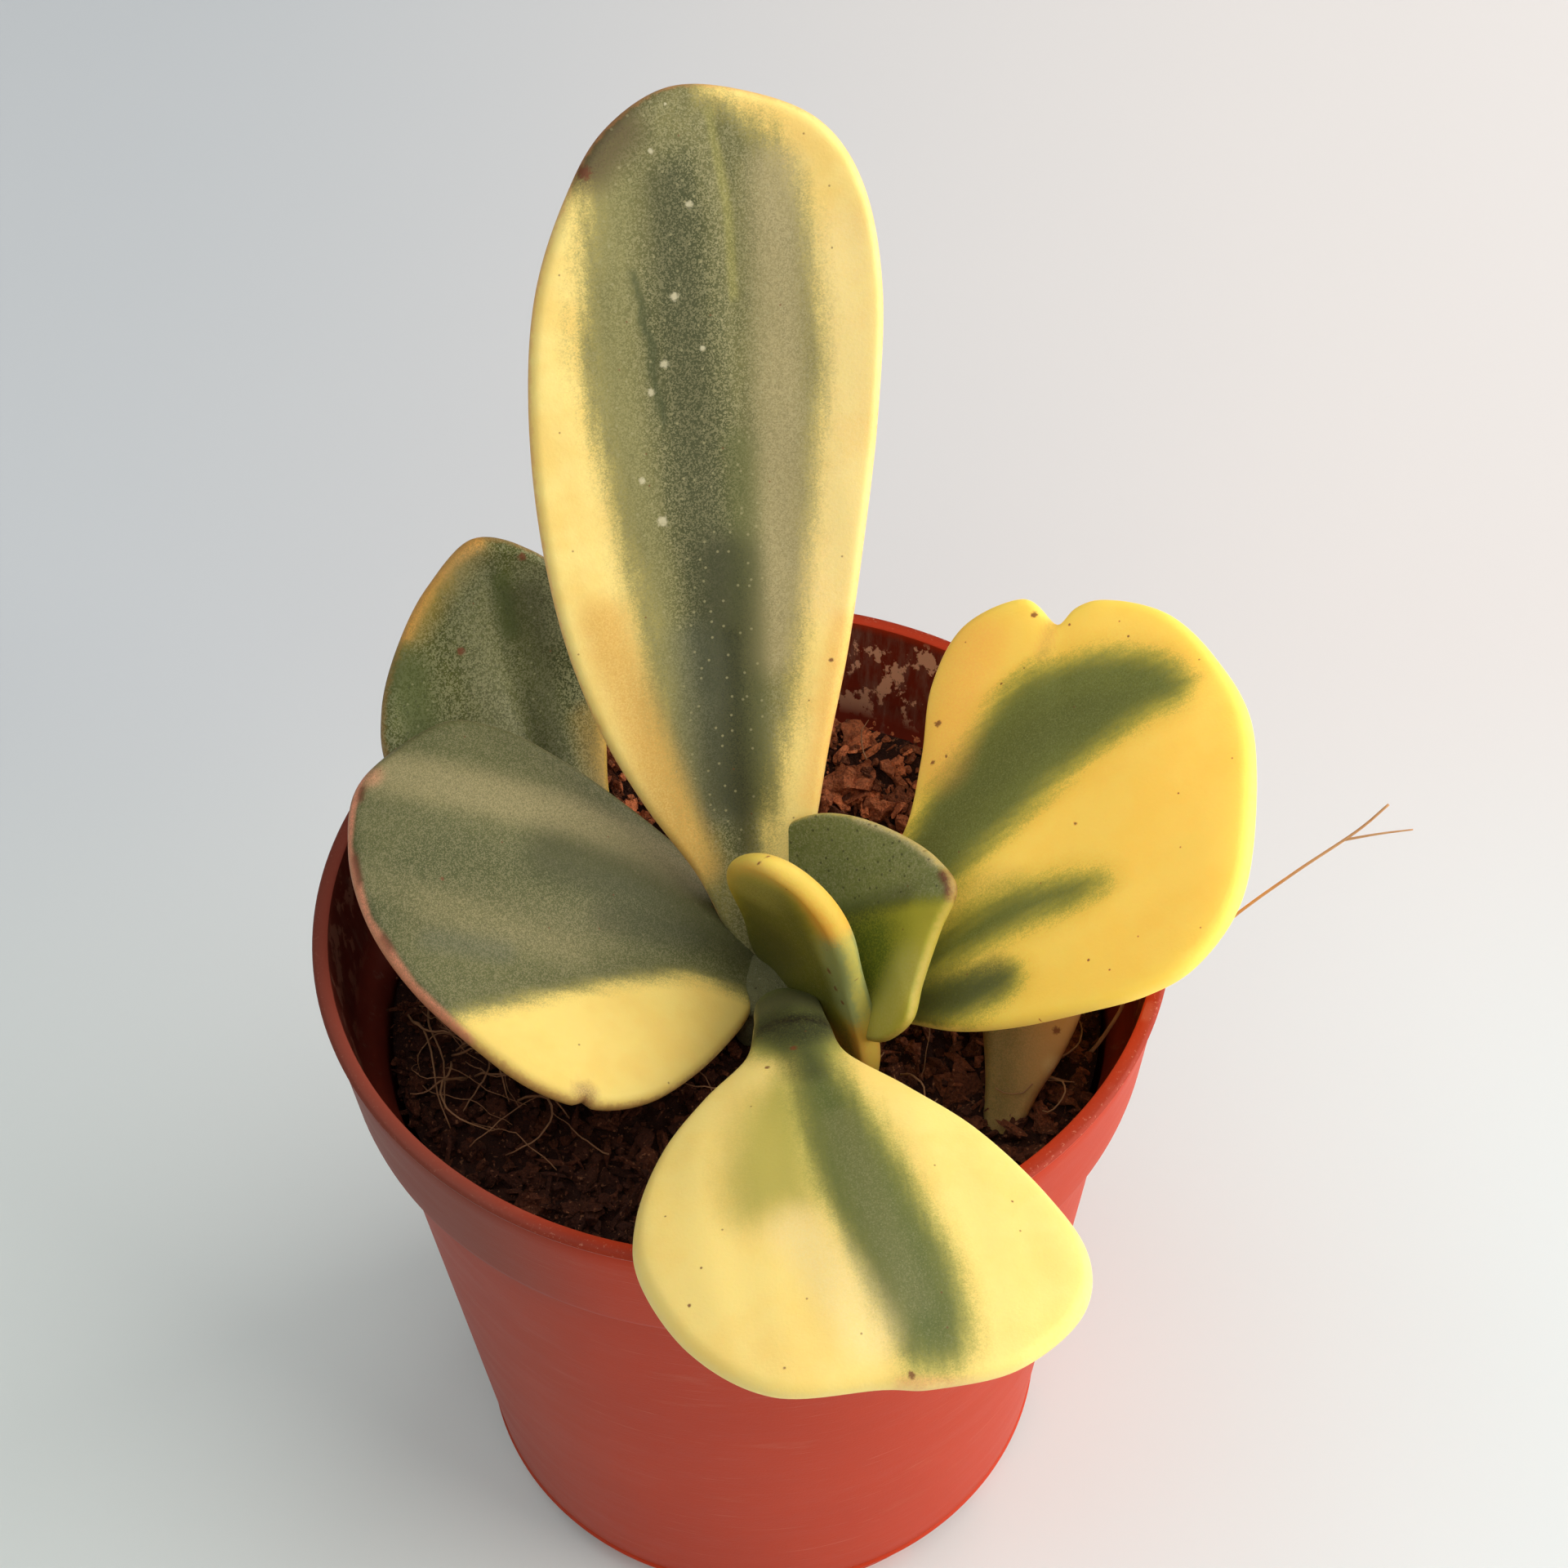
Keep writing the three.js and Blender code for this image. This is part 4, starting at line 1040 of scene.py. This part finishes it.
def midrib(leaf, share):
    """The midrib's heading and direction at shares of its length."""
    heading = np.radians(leaf["heading"][0] + (leaf["heading"][1] - leaf["heading"][0]) * share)
    rise = np.radians(leaf["rise"][0] + (leaf["rise"][1] - leaf["rise"][0]) * share)
    direction = [np.cos(rise) * np.cos(heading), np.cos(rise) * np.sin(heading), np.sin(rise)]
    return heading, np.stack(direction, -1)


def blade_points(leaf, out, along, lift):
    """Points of the blade: out from the midrib, along it, and lifted off the blade's middle surface."""
    steps = 60
    share = along / leaf["length"]
    inside = np.clip(share, 0, 1)
    _, runs = midrib(leaf, (np.arange(steps) + 0.5) / steps)
    places = np.vstack([np.zeros(3), np.cumsum(runs * leaf["length"] / steps, axis=0)])
    places = places + np.array(leaf["base"], float)
    shares = np.linspace(0, 1, steps + 1)
    point = np.stack([np.interp(inside, shares, places[:, k]) for k in range(3)], -1)
    heading, direction = midrib(leaf, inside)
    point = point + direction * ((share - inside) * leaf["length"])[:, None]
    level = np.stack([np.sin(heading), -np.cos(heading), np.zeros_like(heading)], -1)
    normal = np.cross(level, direction)
    roll = math.radians(leaf["roll"])
    across = level * math.cos(roll) + normal * math.sin(roll)
    up = normal * math.cos(roll) - level * math.sin(roll)
    cup = np.where(out < 0, leaf["cup"][0], leaf["cup"][1])
    height = cup * (out / CUP_REACH) ** 2 + lift
    return point + across * out[:, None] + up * height[:, None]


def outline_pairs(leaf):
    """Left and right outline points, from the leaf's start to its tip."""
    left = [(-out, along) for out, along in leaf["left"]]
    loop = np.array([leaf["start"], *left, leaf["tip"], *leaf["right"][::-1]], float)
    tip_share = (len(left) + 1) / len(loop)
    share = np.linspace(0, 1, BLADE["rows"] + 1)
    return loop_at(loop, share * tip_share), loop_at(loop, (1 - share * (1 - tip_share)) % 1)


def ring_shares(span, edge):
    """Where the rings lie: even over the blade, close together round its margin."""
    edge = edge / span
    flat = np.linspace(0, 1 - edge, BLADE["flat_rings"])
    turns = np.linspace(0, math.pi / 2, BLADE["round_rings"] + 1)[1:]
    return np.concatenate([flat, 1 - edge + edge * np.sin(turns)])


def leaf_shape(leaf):
    """The blade's points, faces, places (out, along) and distances from the margin."""
    left, right = outline_pairs(leaf)
    start = np.array(leaf["start"], float)
    tip = np.array(leaf["tip"], float)
    edge = leaf["edge"]
    rings = BLADE["flat_rings"] + BLADE["round_rings"]
    places = []
    halves = []
    margins = []
    along = ((left + right)[:, 1] / 2 - start[1]) / (tip[1] - start[1])
    along = np.clip(np.maximum.accumulate(along), 0, 1)
    calm = SPINE["smoothing"]
    along = np.convolve(np.pad(along, calm, mode="edge"), np.ones(2 * calm + 1) / (2 * calm + 1), "valid")
    for a, b, reach in zip(left, right, SPINE["inset"] + (1 - 2 * SPINE["inset"]) * along):
        spine = start + (tip - start) * reach
        for rim in (a, b):
            arm = rim - spine
            span = np.linalg.norm(arm)
            if leaf["nick"]:
                nick_out, nick_along, depth, width = leaf["nick"]
                dent = depth * math.exp(-(math.hypot(rim[0] - nick_out, rim[1] - nick_along) / width) ** 2)
                arm = arm * (1 - dent / span)
                span -= dent
            shares = ring_shares(span, edge)
            margin = span * (1 - shares)
            bow = edge * np.sqrt(1 - (1 - np.minimum(margin / edge, 1)) ** 2)
            places.append(spine + shares[:, None] * arm)
            halves.append(bow + (leaf["thickness"] / 2 - edge) * (1 - shares**2))
            margins.append(margin)
    place = np.concatenate(places)
    half = np.concatenate(halves)
    margin = np.concatenate(margins)
    place = np.repeat(place, 2, axis=0)
    side = np.tile([1.0, -1.0], len(half))
    lift = np.repeat(half, 2) * side + surface_waves(leaf, place, side, np.repeat(margin, 2))
    points = blade_points(leaf, place[:, 0], place[:, 1], lift)
    faces = []
    rows = len(left)
    grid = np.arange(len(points)).reshape(rows, 2, rings, 2)
    for hand in range(2):
        for face in range(2):
            block = grid[:, hand, :, face]
            corners = [block[:-1, :-1], block[:-1, 1:], block[1:, 1:], block[1:, :-1]]
            if hand == face:
                corners.reverse()
            faces.append(np.stack(corners, -1).reshape(-1, 4))
    return points, np.concatenate(faces), place, np.repeat(margin, 2)


def surface_waves(leaf, place, side, margin):
    """Low waves of the whole blade, and a shallow groove along each rib on its upper side."""
    out, along = place[:, 0], place[:, 1]
    calm = np.clip(margin / 2.5, 0, 1)
    wave = 0.09 * np.sin(out * 0.55 + along * 0.21) * np.sin(along * 0.33 + 1.3)
    furrow = 0.02 * np.sin(out * 1.9 + 0.4 * np.sin(along * 0.2))
    groove = -0.16 * np.exp(-(line_distance(place, leaf["ribs"]) / 0.8) ** 2)
    return calm * (wave + (furrow + groove) * (side > 0))


def merged(points, faces, tolerance=2e-6):
    """Joins points that lie together, and drops faces that this closes."""
    keys = np.round(points / tolerance).astype(np.int64)
    _, first, index = np.unique(keys, axis=0, return_index=True, return_inverse=True)
    kept = []
    for face in index.ravel()[faces]:
        corners = [int(c) for k, c in enumerate(face) if c != face[k - 1]]
        if len(set(corners)) == len(corners) and len(corners) > 2:
            kept.append(corners)
    return first, kept


def add_leaf(name, leaf):
    points, faces, place, margin = leaf_shape(leaf)
    first, kept = merged(placed(points), faces)
    piece = add_piece(name + "_blade", placed(points)[first], kept, leaf_material(name, leaf))
    place = place[first]
    add_values(piece, "leaf_place", np.column_stack([place, np.zeros(len(place))]))
    add_values(piece, "margin", margin[first])
    for area in ("green", "dark", "pale"):
        add_values(piece, area, area_depth(place, leaf[area]))
    colour, cover = painted(place, leaf["strokes"])
    add_values(piece, "tint", colour)
    add_values(piece, "cover", cover)
    slot = next(s["material_slot"] for s in frame["record"]["subparts"] if s["node"] == name)
    dress(piece, slot, name)


def leaf_material(name, leaf):
    look = SKIN | PALETTES[name]
    grains_per_mm, frost_strength = look["frost"]
    glow, depth = look["glow"]
    soft = look["soft"]
    through = look["through"]
    shader = Shader(name + "_skin")
    place = shader.value("leaf_place", "Vector")
    streaks = shader.noise(1.1, 4.0, 0.6, (1.0, 0.16, 1.0), place)
    patches = shader.noise(0.22, 3.0, 0.55, flat=place)
    tone = shader.noise(0.55, 5.0, 0.65, (1.0, 0.4, 1.0), place)
    mottle = shader.noise(2.2, 3.0, 0.6)
    grain = shader.noise(5.0, 2.0, 0.6)
    first, second = shader.grains(grains_per_mm)
    ragged = shader.total(shader.total(-1.25, streaks, 1.3), mottle, 0.6)
    ragged = shader.times(shader.total(ragged, first, 0.6), look["ragged"])
    green = shader.total(shader.value("green"), ragged, soft)
    pale = shader.total(shader.value("pale"), ragged, 0.9)
    dark = shader.total(shader.value("dark"), ragged, 1.4)
    green_share = shader.step(green, -0.8 * soft, 1.1 * soft)
    shader.colour = shader.mix(shader.step(patches, 0.35, 0.7, 0.6), look["yellow"], look["deep"])
    shader.coat(shader.step(pale, -1.6, 2.2), look["pale"])
    shader.coat(shader.step(green, -1.6 * soft, 0.6 * soft), look["lime"])
    shader.coat(green_share, look["green"])
    uneven = shader.times(shader.step(tone, 0.42, 0.62, 0.3), green_share)
    shader.coat(shader.math("MAXIMUM", shader.step(dark, -1.3, 1.7), uneven), look["dark"])
    shader.coat(shader.times(shader.step(first, 0.55, 0.2, HOLLOW), green_share), look["hollow"])
    chance = shader.total(second, shader.total(look["bloom_amount"] - 0.25, mottle, 0.5))
    frost = shader.step(chance, 0.7, 1.3, frost_strength)
    shader.coat(shader.times(frost, shader.step(green, -soft, soft)), look["bloom"])
    stroke_share = shader.times(shader.value("cover"), shader.total(0.7, second, 0.6))
    shader.coat(stroke_share, shader.value("tint", "Color"))
    shader.coat(shader.times(shader.dots(place, 1.1, 0.12, look["dots"]), green_share), look["bloom"])
    shader.coat(shader.times(shader.dots(place, 1.3, 0.14, look["pits"]), green_share), PIT)
    rim = shader.total(shader.value("margin"), mottle, 0.5)
    shader.coat(shader.step(rim, 0.55, 0.2, 0.5), look["edge"])
    shader.coat(shader.dots(place, 0.24, 0.02, 0.6), SPOT_TINTS["spots"][0])
    wobble = shader.total(-0.5, grain)
    for kind, (tint, strength) in SPOT_TINTS.items():
        for out, along, radius in leaf[kind]:
            inputs = {0: place, 1: (out, along, 0.0)}
            gap = shader.add("ShaderNodeVectorMath", inputs, operation="DISTANCE").outputs["Value"]
            gap = shader.total(gap, wobble, 1.3 * radius)
            shader.coat(shader.step(gap, radius, 0.3 * radius, strength), tint)
    shader.bump(shader.total(grain, mottle, 0.8), 0.015)
    # Painted light: the emission makes the yellow parts glow in their own colour, for light that comes
    # through
    return shader.finish(
        shader.total(0.46, grain, 0.2), Specular_IOR_Level=0.32, Subsurface_Scale=depth * MM,
        Subsurface_Radius=(1.0, 0.66, 0.33), Subsurface_Weight=shader.total(glow, green_share, -0.75 * glow),
        Emission_Color=shader.colour, Emission_Strength=shader.total(through, green_share, -through),
    )


add_camera()
add_surroundings()
add_pot()
add_mix()
add_stem()
add_fibres()
for leaf_name, leaf_values in LEAVES.items():
    add_leaf(leaf_name, LEAF | leaf_values)
